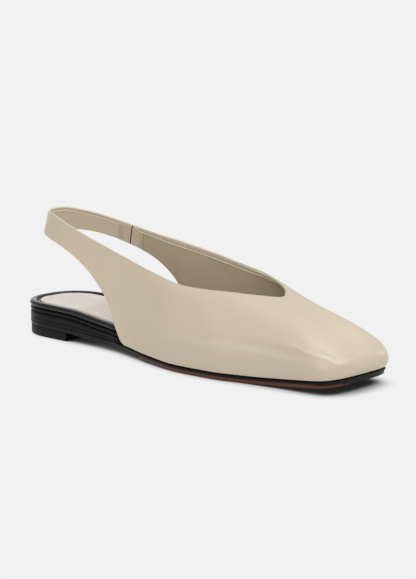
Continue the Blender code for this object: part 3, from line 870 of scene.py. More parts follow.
class Shader(NodeBuilder):
    """Short hand for building one material's nodes."""

    def __init__(self, name, colour, roughness):
        self.material = bpy.data.materials.new(name)
        self.material.use_nodes = True
        self.material.diffuse_color = colour
        self.tree = self.material.node_tree
        self.surface = self.tree.nodes["Principled BSDF"]
        self.surface.inputs["Base Color"].default_value = colour
        self.surface.inputs["Roughness"].default_value = roughness
        self.place = self.add("ShaderNodeTexCoord").outputs["Object"]

    def noise(self, scale, detail=3.0, roughness=0.5, stretch=None):
        node = self.add("ShaderNodeTexNoise")
        node.inputs["Scale"].default_value = scale
        node.inputs["Detail"].default_value = detail
        node.inputs["Roughness"].default_value = roughness
        place = self.place
        if stretch:
            mapping = self.add("ShaderNodeMapping")
            mapping.inputs["Scale"].default_value = stretch
            self.link(self.place, mapping.inputs["Vector"])
            place = mapping.outputs["Vector"]
        self.link(place, node.inputs["Vector"])
        return node.outputs["Fac"]

    def cells(self, scale):
        node = self.add("ShaderNodeTexVoronoi", feature="SMOOTH_F1")
        node.inputs["Scale"].default_value = scale
        node.inputs["Smoothness"].default_value = 0.6
        self.link(self.place, node.inputs["Vector"])
        return node.outputs["Distance"]

    def stored(self, name):
        return self.add("ShaderNodeAttribute", attribute_name=name).outputs["Fac"]

    def spread(self, value, low, high):
        """A value from 0 to 1 turned to run from low to high."""
        node = self.add("ShaderNodeMapRange")
        self.link(value, node.inputs["Value"])
        node.inputs["To Min"].default_value = low
        node.inputs["To Max"].default_value = high
        return node.outputs["Result"]

    def mixed(self, share, first, second):
        """Mix of two colours, each a fixed colour or another output."""
        node = self.add("ShaderNodeMix", data_type="RGBA")
        self.link(share, node.inputs["Factor"])
        for value, socket in ((first, node.inputs["A"]), (second, node.inputs["B"])):
            if isinstance(value, bpy.types.NodeSocket):
                self.link(value, socket)
            else:
                socket.default_value = value
        return node.outputs["Result"]

    def bump(self, height, strength, distance, before=None):
        node = self.add("ShaderNodeBump")
        node.inputs["Strength"].default_value = strength
        node.inputs["Distance"].default_value = distance
        self.link(height, node.inputs["Height"])
        if before:
            self.link(before, node.inputs["Normal"])
        return node.outputs["Normal"]

    def use(self, **sockets):
        names = {"colour": "Base Color", "roughness": "Roughness", "normal": "Normal"}
        for key, output in sockets.items():
            self.link(output, self.surface.inputs[names[key]])

    def coat(self, weight, roughness):
        self.surface.inputs["Coat Weight"].default_value = weight
        self.surface.inputs["Coat Roughness"].default_value = roughness

    def gloss_level(self, level):
        """How strongly the bare surface mirrors, under any coat."""
        self.surface.inputs["Specular IOR Level"].default_value = level


def shade(colour, factor):
    """A colour made darker or lighter."""
    return (colour[0] * factor, colour[1] * factor, colour[2] * factor, 1.0)


def calf_leather(name, colour, stretch_highlight_colour, gloss=0.40):
    """Smooth calf: faint clouding, fine pores, lighter where stretched over a fold, and painted highlight and
    shade.
    """
    shader = Shader(name, colour, roughness=gloss)
    clouds = shader.noise(scale=38.0, detail=4.0, roughness=0.55)
    body = shader.mixed(clouds, shade(colour, 0.955), shade(colour, 1.045))
    # Painted shade: darker towards the sole
    body = shader.mixed(shader.stored("tone"), body, shade(colour, 0.90))
    # Lighter where stretched over a fold, with painted highlights on the folds and the toe's ridge
    body = shader.mixed(shader.stored("stretch"), body, stretch_highlight_colour)
    # Painted shade in the facing inside the topline and on its fold
    body = shader.mixed(shader.stored("groove"), body, shade(colour, 0.45))
    pores = shader.bump(shader.cells(scale=1900.0), strength=0.10, distance=0.00008)
    grain = shader.bump(shader.noise(scale=650.0, detail=3.0), strength=0.07, distance=0.00012, before=pores)
    waves = shader.bump(shader.noise(scale=70.0, detail=2.0), strength=0.05, distance=0.0006, before=grain)
    shader.use(colour=body, roughness=shader.spread(clouds, gloss - 0.04, gloss + 0.05), normal=waves)
    shader.coat(weight=0.22, roughness=0.20)
    return shader.material


def lining_leather(name, colour, strap_colour):
    """Soft matt lining leather, with the outer leather's colour where the strap is lined with that."""
    shader = Shader(name, colour, roughness=0.60)
    clouds = shader.noise(scale=55.0, detail=5.0, roughness=0.6)
    body = shader.mixed(clouds, shade(colour, 0.92), shade(colour, 1.07))
    body = shader.mixed(shader.stored("strap"), body, strap_colour)
    pores = shader.bump(shader.cells(scale=1300.0), strength=0.16, distance=0.0001)
    grain = shader.bump(shader.noise(scale=900.0, detail=3.0), strength=0.10, distance=0.0001, before=pores)
    shader.use(colour=body, normal=grain)
    return shader.material


def polished_edge(name, colour, gloss=0.32, level=0.10):
    """Black waxed and burnished edge, with faint level lines of the layers pressed together."""
    shader = Shader(name, colour, roughness=gloss)
    clouds = shader.noise(scale=90.0, detail=4.0, roughness=0.6)
    lines = shader.noise(scale=220.0, detail=4.0, roughness=0.6, stretch=(0.16, 0.16, 6.0))
    body = shader.mixed(clouds, shade(colour, 0.7), shade(colour, 1.6))
    shader.use(colour=body, roughness=shader.spread(clouds, gloss - 0.06, gloss + 0.14),
               normal=shader.bump(lines, strength=0.22, distance=0.00025))
    shader.gloss_level(level)
    shader.coat(weight=0.03, roughness=0.10)
    return shader.material


def inked_sole(name, colour, black):
    """Red-brown sole leather with its edge inked black above a line, the black also painted shade round the
    toe's front.
    """
    shader = Shader(name, colour, roughness=0.42)
    clouds = shader.noise(scale=60.0, detail=5.0, roughness=0.6)
    fibres = shader.noise(scale=500.0, detail=3.0, roughness=0.6, stretch=(0.3, 0.3, 3.0))
    body = shader.mixed(clouds, shade(colour, 0.75), shade(colour, 1.3))
    # Inked black edge, carried round the toe's front as painted shade
    body = shader.mixed(shader.stored("ink"), body, black)
    shader.use(colour=body, roughness=shader.spread(clouds, low=0.34, high=0.50),
               normal=shader.bump(fibres, strength=0.15, distance=0.0002))
    shader.gloss_level(0.15)
    return shader.material


def woven_elastic(name, colour):
    """Dark elastic, matt, with fine threads across."""
    shader = Shader(name, colour, roughness=0.85)
    threads = shader.noise(scale=1500.0, detail=2.0, stretch=(4.0, 4.0, 0.4))
    body = shader.mixed(threads, shade(colour, 0.6), shade(colour, 1.8))
    shader.use(colour=body, normal=shader.bump(threads, strength=0.4, distance=0.0002))
    return shader.material


def sewing_thread(name, colour):
    """Matt thread with a fine twist."""
    shader = Shader(name, colour, roughness=0.65)
    twist = shader.noise(scale=2600.0, detail=2.0, stretch=(1.0, 1.0, 2.5))
    body = shader.mixed(twist, shade(colour, 0.85), shade(colour, 1.08))
    shader.use(colour=body, normal=shader.bump(twist, strength=0.3, distance=0.0001))
    return shader.material


def lift_material(name, colour):
    """Black rubber top lift with a fine tooth."""
    shader = Shader(name, colour, roughness=0.48)
    tooth = shader.noise(scale=1400.0, detail=3.0, roughness=0.6)
    clouds = shader.noise(scale=80.0, detail=3.0)
    body = shader.mixed(clouds, shade(colour, 0.8), shade(colour, 1.5))
    shader.use(colour=body, normal=shader.bump(tooth, strength=0.2, distance=0.0001))
    shader.gloss_level(0.15)
    return shader.material


def seam_places(form, gap):
    """Ribs all round the upper, from the seam round the heel and the toe back to the seam."""
    length = form.rear[MEDIAL].reach[-1]
    near = [distance / length for distance in SEAM_STEPS]
    half = gap / 2 / length
    rear = [step / REAR_RIBS for step in range(1, REAR_RIBS + 1)]
    front = [1 + step / FRONT_RIBS for step in range(1, FRONT_RIBS + 1)]
    clear = half + near[-1] + SEAM_CLEAR / REAR_RIBS
    places = [(MEDIAL, SEAM_ALONG - half - step) for step in near]
    places += [(MEDIAL, along) for along in reversed(rear) if along < SEAM_ALONG - clear]
    places += [(LATERAL, 0.0)]
    places += [(LATERAL, along) for along in rear + front]
    places += [(MEDIAL, along) for along in reversed(front[:-1])]
    places += [(MEDIAL, along) for along in reversed(rear) if along > SEAM_ALONG + clear]
    places += [(MEDIAL, SEAM_ALONG + half + step) for step in reversed(near)]
    return places


def seam_relief(form, side, along, sizes):
    """How far the outer leather dips beside the seam: a rolled end and soft puckers."""
    if side != MEDIAL:
        return 0.0
    away = abs(along - SEAM_ALONG) * form.rear[MEDIAL].reach[-1] - sizes.seam_gap / 2
    dip = 0.0
    if away < SEAM_ROLL:
        dip = SEAM_ROLL - math.sqrt(max(SEAM_ROLL ** 2 - (SEAM_ROLL - away) ** 2, 0.0))
    rise = sum(wave.share * hump(away - wave.away, wave.width) for wave in SEAM_WAVES)
    return dip - sizes.pucker * rise


def painted_ridge_highlight(along, downs):
    """How much painted highlight lies along the toe's ridge, added to the lighter stretched colour."""
    line = within(along, LINE_SPAN) * hump(downs - smooth_value(RIDGE_LINE, along), LINE_WIDTH)
    band = within(along, BAND_SPAN) * hump(downs - smooth_value(BAND_LINE, along), BAND_WIDTH)
    return CREST_HIGHLIGHT * line + BAND_HIGHLIGHT * band


def ridge_relief(side, along, downs, sizes):
    """The square toe's ridge: the leather stands out where the top turns into the side."""
    away = downs - smooth_value(RIDGE_LINE, along)
    crest = 1 + RIDGE_CROWN - np.sqrt((away / RIDGE_WIDTH) ** 2 + RIDGE_CROWN ** 2)
    window = np.exp(-(away / RIDGE_REACH) ** 4)
    trough = TROUGH_DEPTH * hump(away + TROUGH_ABOVE, TROUGH_WIDTH)
    ahead = within(along, RIDGE_SPAN)
    if side == MEDIAL:
        ahead *= 1 - (1 - INNER_RIDGE) * float(smooth_step(RIBS[-1].along - along, *INNER_CHANGE))
    return -sizes.toe_ridge * ahead * (crest * window - trough)


def arc(radius, start, end, steps):
    """Distances from an edge and depths round a fold of the leather."""
    angles = np.linspace(start, end, steps)
    return radius * (1 - np.sin(angles)), radius * (1 - np.cos(angles))


def facing_at(sizes, along):
    """Width of the facing at a place along the shoe: narrower on the strap than on the vamp."""
    growth = float(smooth_step(along, *FACING_GROWTH))
    return sizes.facing_width * (STRAP_FACING + (1 - STRAP_FACING) * growth)


def topline_fold(sizes, facing):
    """The leather turned over the topline: distances from it, depths, stretch with painted highlight, and
    painted shade.
    """
    thick, radius = sizes.edge_thickness, sizes.edge_thickness / 2
    turn = np.sin(np.linspace(0.0, math.pi, FOLD_STEPS))
    fold_gap, fold_depth = arc(radius, math.pi, 0.0, FOLD_STEPS)
    gap = [facing] + [facing - point.back for point in FACING_END] + [(facing + radius) / 2]
    depth = [sizes.leather_thickness] + [thick - point.sunk for point in FACING_END] + [thick]
    shaded = [1.0] + [point.shaded for point in FACING_END] + [FACING_SHADE]
    return (np.concatenate([gap, fold_gap]), np.concatenate([depth, fold_depth]),
            np.concatenate([np.zeros(len(gap)), EDGE_GLOW + FOLD_GLOW * turn]),
            np.concatenate([shaded, FOLD_SHADE - FOLD_SHADE * turn]))


def lower_fold(sizes, along):
    """The leather's lower edge: turned over behind the quarter's foot, and cut thin on the sole."""
    thick, layer = sizes.edge_thickness, sizes.leather_thickness
    on_sole = smooth_step(along, *FOOT_CHANGE)
    rear_gap, rear_depth = arc(thick / 2, 0.0, math.pi, TURN_STEPS)
    rear_gap = np.concatenate([rear_gap, [sizes.rear_turn, sizes.rear_turn]])
    rear_depth = np.concatenate([rear_depth, [thick, layer]])
    front_gap, front_depth = arc(layer / 2, 0.0, math.pi / 2, TURN_STEPS)
    front_gap = np.concatenate([front_gap, [0.0, CUT_BACK]])
    front_depth = np.concatenate([front_depth, [layer * CUT_DEPTH, layer]])
    turn = np.sin(np.linspace(0.0, math.pi, TURN_STEPS))
    # Lighter where stretched round the turned edge, partly a painted highlight on it
    stretch = np.concatenate([LOW_GLOW * turn, [EDGE_GLOW, EDGE_GLOW]]) * (1 - on_sole)
    return (rear_gap * (1 - on_sole) + front_gap * on_sole,
            rear_depth * (1 - on_sole) + front_depth * on_sole, stretch)


def shell_ring(wall, index, sizes, form):
    """Closed section of the outer leather at one rib, its stretch and painted highlight, and its painted
    shade.
    """
    side, along = wall.places[index]
    layer, radius = sizes.leather_thickness, sizes.edge_thickness / 2
    top_gap, top_depth, top_stretch_and_highlight, top_painted_shade = topline_fold(sizes, facing_at(sizes, along))
    low_gap, low_depth, low_stretch_and_highlight = lower_fold(sizes, along)
    top_reach = wall.down_from_top(index, top_gap)
    low_reach = wall.down_from_low(index, low_gap)
    middle_reach = np.linspace(top_reach[-1], low_reach[0], OUTER_ROWS + 2)[1:-1]
    back_reach = np.linspace(low_reach[-1], top_reach[0], BACK_STEPS + 2)[1:-1]
    downs = np.interp(middle_reach, wall.reach[index], np.linspace(0.0, 1.0, DENSE_ROWS))
    below = np.interp(middle_reach, wall.reach[index], wall.from_top[index])
    above = np.interp(middle_reach, wall.reach[index], wall.from_low[index][::-1])
    # Lighter beside the topline's fold, partly painted highlight, and the painted highlight on the ridge
    middle_stretch_and_highlight = EDGE_GLOW * hump(below - radius, EDGE_GLOW_WIDTH) + painted_ridge_highlight(along, downs)
    # Painted shade on the vamp's side, darker towards the sole
    middle_painted_shade = smooth_step(along, *PAINTED_SHADE_ALONG) * (1 - smooth_step(above, *PAINTED_SHADE_HEIGHT))
    dip = seam_relief(form, side, along, sizes)
    fade = smooth_step(middle_reach, top_reach[-1], top_reach[-1] + RIDGE_FADE)
    middle_depth = ridge_relief(side, along, downs, sizes) * fade + dip
    top_depth = top_depth + np.where(top_depth < radius, dip, 0.0)
    low_depth = low_depth + np.where(low_depth < radius, dip, 0.0)
    reaches = np.concatenate([top_reach, middle_reach, low_reach, back_reach])
    depths = np.concatenate([top_depth, middle_depth, low_depth, np.full(BACK_STEPS, layer)])
    stretch = np.concatenate([top_stretch_and_highlight, middle_stretch_and_highlight, low_stretch_and_highlight, np.zeros(BACK_STEPS)])
    # Painted shade only in the facing and on the topline's fold
    groove = np.concatenate([top_painted_shade, np.zeros(len(reaches) - len(top_painted_shade))])
    rest = len(reaches) - len(top_reach) - OUTER_ROWS
    tone = np.concatenate([np.zeros(len(top_reach)), middle_painted_shade, np.full(rest, middle_painted_shade[-1])])
    return wall.read(index, reaches, depths), stretch, groove, tone


def strap_share(side, along):
    """1 where the strap is lined with the outer leather, 0 where the lining leather starts."""
    if side == MEDIAL:
        return float(1 - smooth_step(along, ELASTIC_FRONT - STRAP_LINING_FADE, ELASTIC_FRONT))
    return float(1 - smooth_step(along, *STRAP_LINING_END))


def lining_ring(wall, index, sizes):
    """Closed section of the lining at one rib, under the outer leather's turned edges."""
    along = wall.places[index][1]
    reach, heights = wall.reach[index], wall.surface[index][:, 2]
    ahead = smooth_step(along, *LINING_CHANGE)
    top = float(wall.down_from_top(index, facing_at(sizes, along) + LINING_GAP))
    rear_low = float(wall.down_from_low(index, sizes.rear_turn + LINING_GAP))
    station = min(max(wall.surface[index][-1][0] + TREAD_CENTRE, 0.0), LENGTH)
    level = sock_top(station) - LINING_TUCK
    front_low = np.interp(-level, -heights, reach) if heights[-1] < level < heights[0] else reach[-1]
    low = rear_low * (1 - ahead) + min(front_low, rear_low) * ahead
    curl = np.array(LINING_CURL) * ahead
    reaches = np.concatenate([np.linspace(top, low, LINING_ROWS), np.full(len(curl), low),
                              np.linspace(low, top, BACK_STEPS)])
    depths = np.concatenate([np.full(LINING_ROWS, sizes.edge_thickness - LINING_GAP),
                             sizes.edge_thickness + curl,
                             np.full(BACK_STEPS, sizes.leather_thickness + LINING_GAP)])
    return wall.read(index, reaches, depths)


def path_object(name, lines, normals=None):
    """Mesh of edges only, one run of edges for each line of points."""
    points, edges, directions = [], [], []
    for number, line in enumerate(lines):
        start = len(points)
        points += [tuple(point) for point in line]
        edges += [(start + step, start + step + 1) for step in range(len(line) - 1)]
        if normals is not None:
            directions += [tuple(normal) for normal in normals[number]]
    mesh = bpy.data.meshes.new(name)
    mesh.from_pydata(points, edges, [])
    if normals is not None:
        attribute = mesh.attributes.new("face_way", "FLOAT_VECTOR", "POINT")
        attribute.data.foreach_set("vector", np.array(directions, np.float32).ravel())
    return add_object(name, mesh)


class GeometryTree(NodeBuilder):
    """Short hand for a Geometry Nodes tree with named inputs."""

    def __init__(self, name):
        self.tree = bpy.data.node_groups.new(name, "GeometryNodeTree")
        self.tree.interface.new_socket("Geometry", in_out="INPUT", socket_type="NodeSocketGeometry")
        self.tree.interface.new_socket("Geometry", in_out="OUTPUT", socket_type="NodeSocketGeometry")
        self.source = self.tree.nodes.new("NodeGroupInput")
        self.target = self.tree.nodes.new("NodeGroupOutput")

    def size(self, name, value):
        socket = self.tree.interface.new_socket(name, in_out="INPUT", socket_type="NodeSocketFloat")
        socket.default_value = value
        return self.source.outputs[name]

    def material(self, name):
        self.tree.interface.new_socket(name, in_out="INPUT", socket_type="NodeSocketMaterial")
        return self.source.outputs[name]

    def end(self, geometry, material):
        """Realize the instances and set the material, as the last steps."""
        realize = self.add("GeometryNodeRealizeInstances")
        paint = self.add("GeometryNodeSetMaterial")
        self.link(geometry, realize.inputs["Geometry"])
        self.link(realize.outputs["Geometry"], paint.inputs["Geometry"])
        self.link(material, paint.inputs["Material"])
        self.link(paint.outputs["Geometry"], self.target.inputs["Geometry"])
        return self.tree


def roll_tree():
    """Round roll along each run of edges."""
    build = GeometryTree("Roll along edges")
    radius = build.size("Radius", 0.00034)
    material = build.material("Material")
    curve = build.add("GeometryNodeMeshToCurve")
    profile = build.add("GeometryNodeCurvePrimitiveCircle")
    profile.inputs["Resolution"].default_value = 8
    sweep = build.add("GeometryNodeCurveToMesh")
    sweep.inputs["Fill Caps"].default_value = True
    smooth = build.add("GeometryNodeSetShadeSmooth")
    build.link(build.source.outputs["Geometry"], curve.inputs["Mesh"])
    build.link(radius, profile.inputs["Radius"])
    build.link(curve.outputs["Curve"], sweep.inputs["Curve"])
    build.link(profile.outputs["Curve"], sweep.inputs["Profile Curve"])
    build.link(sweep.outputs["Mesh"], smooth.inputs["Geometry"])
    return build.end(smooth.outputs["Geometry"], material)


def stitch_tree():
    """A row of stitches along each run of edges, lying on the face that the stored way points from."""
    build = GeometryTree("Stitches along edges")
    pitch = build.size("Pitch", 0.0026)
    length = build.size("Length", 0.0019)
    radius = build.size("Radius", 0.00010)
    material = build.material("Material")
    curve = build.add("GeometryNodeMeshToCurve")
    resample = build.add("GeometryNodeResampleCurve", mode="LENGTH")
    grain = build.add("GeometryNodeMeshUVSphere")
    grain.inputs["Segments"].default_value = 6
    grain.inputs["Rings"].default_value = 6
    half = build.add("ShaderNodeMath", operation="MULTIPLY")
    half.inputs[1].default_value = 0.5
    stitch_size = build.add("ShaderNodeCombineXYZ")
    shape = build.add("GeometryNodeTransform")
    tangent = build.add("GeometryNodeInputTangent")
    way = build.add("GeometryNodeInputNamedAttribute", data_type="FLOAT_VECTOR")
    way.inputs["Name"].default_value = "face_way"
    aim = build.add("FunctionNodeAlignRotationToVector", axis="X")
    stand = build.add("FunctionNodeAlignRotationToVector", axis="Z", pivot_axis="X")
    place = build.add("GeometryNodeInstanceOnPoints")
    smooth = build.add("GeometryNodeSetShadeSmooth")
    build.link(build.source.outputs["Geometry"], curve.inputs["Mesh"])
    build.link(curve.outputs["Curve"], resample.inputs["Curve"])
    build.link(pitch, resample.inputs["Length"])
    build.link(length, half.inputs[0])
    build.link(half.outputs["Value"], stitch_size.inputs["X"])
    build.link(radius, stitch_size.inputs["Y"])
    build.link(radius, stitch_size.inputs["Z"])
    build.link(grain.outputs["Mesh"], shape.inputs["Geometry"])
    build.link(stitch_size.outputs["Vector"], shape.inputs["Scale"])
    build.link(shape.outputs["Geometry"], smooth.inputs["Geometry"])
    build.link(resample.outputs["Curve"], place.inputs["Points"])
    build.link(smooth.outputs["Geometry"], place.inputs["Instance"])
    build.link(tangent.outputs["Tangent"], aim.inputs["Vector"])
    build.link(aim.outputs["Rotation"], stand.inputs["Rotation"])
    build.link(way.outputs["Attribute"], stand.inputs["Vector"])
    build.link(stand.outputs["Rotation"], place.inputs["Rotation"])
    return build.end(place.outputs["Instances"], material)


def run_tree(item, tree, name, **inputs):
    """Give an object a tree, read the result as a plain mesh, and drop the source object."""
    modifier = item.modifiers.new(tree.name, "NODES")
    modifier.node_group = tree
    for socket in tree.interface.items_tree:
        key = socket.name.lower()
        if socket.item_type == "SOCKET" and socket.in_out == "INPUT" and key in inputs:
            modifier[socket.identifier] = inputs[key]
    evaluated = item.evaluated_get(bpy.context.evaluated_depsgraph_get())
    mesh = bpy.data.meshes.new_from_object(evaluated)
    mesh.name = name
    made = add_object(name, mesh)
    bpy.data.objects.remove(item)
    return made


def offset_ring(ring, insets):
    """Ring of plan points, each moved inwards from both edges that meet at it."""
    moved = []
    count = len(ring)
    for index in range(count):
        place = Vector(ring[index])
        run_in = (place - Vector(ring[index - 1])).normalized()
        run_out = (Vector(ring[(index + 1) % count]) - place).normalized()
        normal_in = Vector((-run_in.y, run_in.x))
        normal_out = Vector((-run_out.y, run_out.x))
        reach = insets[index] / (1 + normal_in.dot(normal_out))
        moved.append(tuple(place + (normal_in + normal_out) * reach))
    return moved


def cover_start(side, level):
    """Station from which the upper's wall passes beside a layer."""
    path = FORM.rear[side]
    foot = QUARTER_FOOT[side] * LENGTH
    height = level(foot)
    for place in path.points[::-1]:
        if place[2] > height:
            return place[0]
    return foot


def layer_ring(end, inset, set_in, covers):
    """Plan ring of a layer, how far its points stand back, and how far its lips are squeezed there."""
    lateral = side_points(LATERAL, end)
    medial = side_points(MEDIAL, end)
    back_along = medial[1:-1] if end >= LENGTH else medial[1:]
    ring = lateral + back_along[::-1]
    insets, squeezes = [], []
    for x, y in ring:
        side = LATERAL if y < 0 else MEDIAL
        tuck = min(max((x - covers[side]) / COVER_RAMP + 1, 0.0), 1.0) if covers else 0.0
        step_in = set_in * (1 - share_at(SOLE_GROWTH, x))
        squeezes.append(1 - COVER_SQUEEZE * tuck)
        insets.append(inset * squeezes[-1] + step_in + TUCK * tuck)
    return ring, insets, squeezes, len(lateral)


def layer_object(name, bottom, top, lips, end=LENGTH, inset=0.0, set_in=0.0, covered=True,
                 heel_squeeze=1.0):
    """One layer of the sole, with the edge that its lips give."""
    covers = {side: cover_start(side, top) for side in (LATERAL, MEDIAL)} if covered else None
    ring, insets, squeezes, side_count = layer_ring(end, inset, set_in, covers)
    if heel_squeeze < 1:
        growth = [share_at(SOLE_GROWTH, x) for x, _ in ring]
        squeezes = [value * (heel_squeeze + (1 - heel_squeeze) * grown)
                    for value, grown in zip(squeezes, growth)]
    count = len(ring)
    shape = bmesh.new()
    rows = []
    for lip in lips:
        depth = LIP_DEPTH * lip.inset
        edge = offset_ring(ring, [base + depth * squeeze for base, squeeze in zip(insets, squeezes)])
        row = []
        for (x, y), (station, _) in zip(edge, ring):
            low, high = bottom(station), top(station)
            row.append(shape.verts.new((x - TREAD_CENTRE, y, low + (high - low) * lip.share)))
        rows.append(row)
    for low_row, high_row in zip(rows, rows[1:]):
        for index in range(count):
            after = (index + 1) % count
            shape.faces.new((low_row[index], low_row[after], high_row[after], high_row[index]))
    for row in (rows[0], rows[-1]):
        for index in range(side_count - 1):
            corners = [row[index], row[index + 1],
                       row[(count - index - 1) % count], row[(count - index) % count]]
            shape.faces.new(list(dict.fromkeys(corners)))
    return object_from_shape(name, shape)


def ink_shares(lips, ring):
    """How black each point of the sole is: black above the line along its edge, brown below and under."""
    values = []
    for number, lip in enumerate(lips):
        for station, across in ring:
            line = share_at(INK_LINE, station)
            if across > 0:
                # At the inner toe corner the black comes down as painted shade
                line -= INNER_INK_DROP * smooth_step(station / LENGTH, *INNER_INK)
            black = smooth_step(lip.share, line - INK_SOFTNESS, line + INK_SOFTNESS)
            values.append(0.0 if number == 0 else float(black))
    return values


FORM = UpperForm()


class ShoeMaker:
    """What the shoe's operators share."""

    bl_options = {"REGISTER", "UNDO"}

    @property
    def sizes(self):
        return bpy.context.scene.shoe_sizes

    @property
    def colours(self):
        return bpy.context.scene.shoe_colours

    @property
    def stage(self):
        return bpy.context.scene.shoe_stage


class SHOE_OT_upper(ShoeMaker, bpy.types.Operator):
    """Make the outer leather: vamp, quarters and sling strap in one, cut at the elastic seam"""

    bl_idname = "shoe.make_upper"
    bl_label = "Make Upper"

    def execute(self, context):
        wall = Wall(FORM, seam_places(FORM, self.sizes.seam_gap))
        rings = [shell_ring(wall, index, self.sizes, FORM) for index in range(len(wall.places))]
        item = object_from_rows("upper_leather", np.array([ring[0] for ring in rings]))
        # Stretch with painted highlights, painted shade in the facing, and painted shade towards the sole
        for number, name in enumerate(("stretch", "groove", "tone"), 1):
            keep_values(item, name, [ring[number] for ring in rings])
        item.data.materials.append(calf_leather(
            "cream_calf", tuple(self.colours.leather), tuple(self.colours.leather_edge)))
        finish_piece(item, "cream_leather", "upper")
        return {"FINISHED"}


class SHOE_OT_lining(ShoeMaker, bpy.types.Operator):
    """Make the lining inside the upper, and the light roll and stitches that end it"""

    bl_idname = "shoe.make_lining"
    bl_label = "Make Lining"

    def execute(self, context):
        sizes = self.sizes
        wall = Wall(FORM, seam_places(FORM, sizes.seam_gap))
        rings = [lining_ring(wall, index, sizes) for index in range(len(wall.places))]
        item = object_from_rows("lining", np.array(rings))
        keep_values(item, "strap", [[strap_share(*place)] * len(rings[0]) for place in wall.places])
        item.data.materials.append(lining_leather(
            "lining_leather", tuple(self.colours.lining), tuple(self.colours.strap_lining)))
        finish_piece(item, "cream_leather")
        edge, stitches, ways = [], [], []
        for index in range(len(wall.places)):
            facing = facing_at(sizes, wall.places[index][1])
            rolled, sewn = wall.down_from_top(index, np.array([facing, facing - STITCH_BACK]))
            depths = np.array([sizes.edge_thickness + LINING_GAP, sizes.edge_thickness, 0.0])
            places = wall.read(index, np.array([rolled, sewn, sewn]), depths)
            edge.append(places[0])
            stitches.append(places[1])
            ways.append(places[1] - places[2])
        roll = run_tree(path_object("roll_path", [edge]), roll_tree(), "lining_roll",
                        radius=sizes.piping_radius,
                        material=sewing_thread("light_roll", tuple(self.colours.piping)))
        finish_piece(roll, "cream_leather")
        rows = run_tree(path_object("stitch_path", [stitches], [ways]), stitch_tree(), "topline_stitches",
                        pitch=sizes.stitch_pitch, length=sizes.stitch_length, radius=sizes.thread_radius,
                        material=sewing_thread("cream_thread", shade(tuple(self.colours.leather), 0.9)))
        finish_piece(rows, "cream_leather")
        return {"FINISHED"}


class SHOE_OT_gore(ShoeMaker, bpy.types.Operator):
    """Make the elastic patch inside the inner strap, behind the seam's cut"""

    bl_idname = "shoe.make_gore"
    bl_label = "Make Elastic"

    def panel(self, name, back, front, low_depth, high_depth, margin, relief):
        """Closed panel between two places along the strap, with its faces at two depths."""
        steps = range(PANEL_COLUMNS + 1)
        places = [(MEDIAL, back + (front - back) * step / PANEL_COLUMNS) for step in steps]
        wall = Wall(FORM, places)
        wall.inward = -wall.inward
        rings = []
        for index, (_, along) in enumerate(places):
            total = wall.reach[index][-1]
            reaches = np.linspace(margin, total - margin, PANEL_LINES)
            soft = np.minimum(np.minimum(reaches - margin, total - margin - reaches) / PATCH_RIM, 1.0)
            ends = min(min(along - back, front - along) * FORM.rear[MEDIAL].reach[-1] / PATCH_RIM, 1.0)
            round_off = PATCH_ROUND * (1 - np.sqrt(np.maximum(1 - (1 - np.minimum(soft, ends)) ** 2, 0.0)))
            face = wall.read(index, reaches, high_depth - round_off + relief(along, reaches / total))
            rest = wall.read(index, reaches[::-1], np.full(PANEL_LINES, low_depth))
            rings.append(np.concatenate([face, rest]))
        return object_from_rows(name, np.array(rings))

    def execute(self, context):
        sizes = self.sizes
        strap = FORM.rear[MEDIAL].reach[-1]
        half = sizes.seam_gap / 2 / strap
        inside = sizes.edge_thickness + LINING_GAP
        proud = inside + PATCH_HEIGHT

        def gathers(along, downs):
            share = (along - ELASTIC_BACK) / (SEAM_ALONG - ELASTIC_BACK)
            wave = math.cos(2 * math.pi * sizes.elastic_cords * share) * hump(share, GATHER_REACH)
            return GATHER_HEIGHT * wave * np.sin(math.pi * downs) ** GATHER_FULLNESS

        def swelling(along, downs):
            away = (along - SEAM_ALONG) * strap
            share = (along - SEAM_ALONG) / (ELASTIC_FRONT - SEAM_ALONG)
            taper = TAPER_HEIGHT * float(smooth_step(share, TAPER_START, 1.0))
            rise = SWELLING_HEIGHT * hump(away - SWELLING_AWAY, SWELLING_WIDTH)
            return np.full(len(downs), rise - taper)

        def level(along, downs):
            return np.zeros(len(downs))

        rear = self.panel("elastic_rear", ELASTIC_BACK, SEAM_ALONG - half, inside, proud, PATCH_MARGIN,
                          gathers)
        front = self.panel("elastic_front", SEAM_ALONG + half, ELASTIC_FRONT, inside, proud, PATCH_MARGIN,
                           swelling)
        core = self.panel("elastic_core", SEAM_ALONG - CORE_REACH, SEAM_ALONG + CORE_REACH, CORE_DEPTH,
                          proud - CORE_SUNK, CORE_MARGIN, level)
        cream = lining_leather(
            "patch_leather", tuple(self.colours.lining), shade(tuple(self.colours.strap_lining), PATCH_SHADE))
        columns = PANEL_COLUMNS + 1
        fade = 1 - smooth_step(np.linspace(0.0, 1.0, columns), *PATCH_FADE)
        keep_values(front, "strap", np.repeat(fade, len(front.data.vertices) // columns))
        keep_values(rear, "strap", np.ones(len(rear.data.vertices)))
        for item in (rear, front):
            item.data.materials.append(cream)
        core.data.materials.append(woven_elastic("dark_elastic", tuple(self.colours.elastic)))
        finish_piece(rear, "elastic", "gore_elastic")
        finish_piece(front, "elastic")
        finish_piece(core, "elastic")
        return {"FINISHED"}


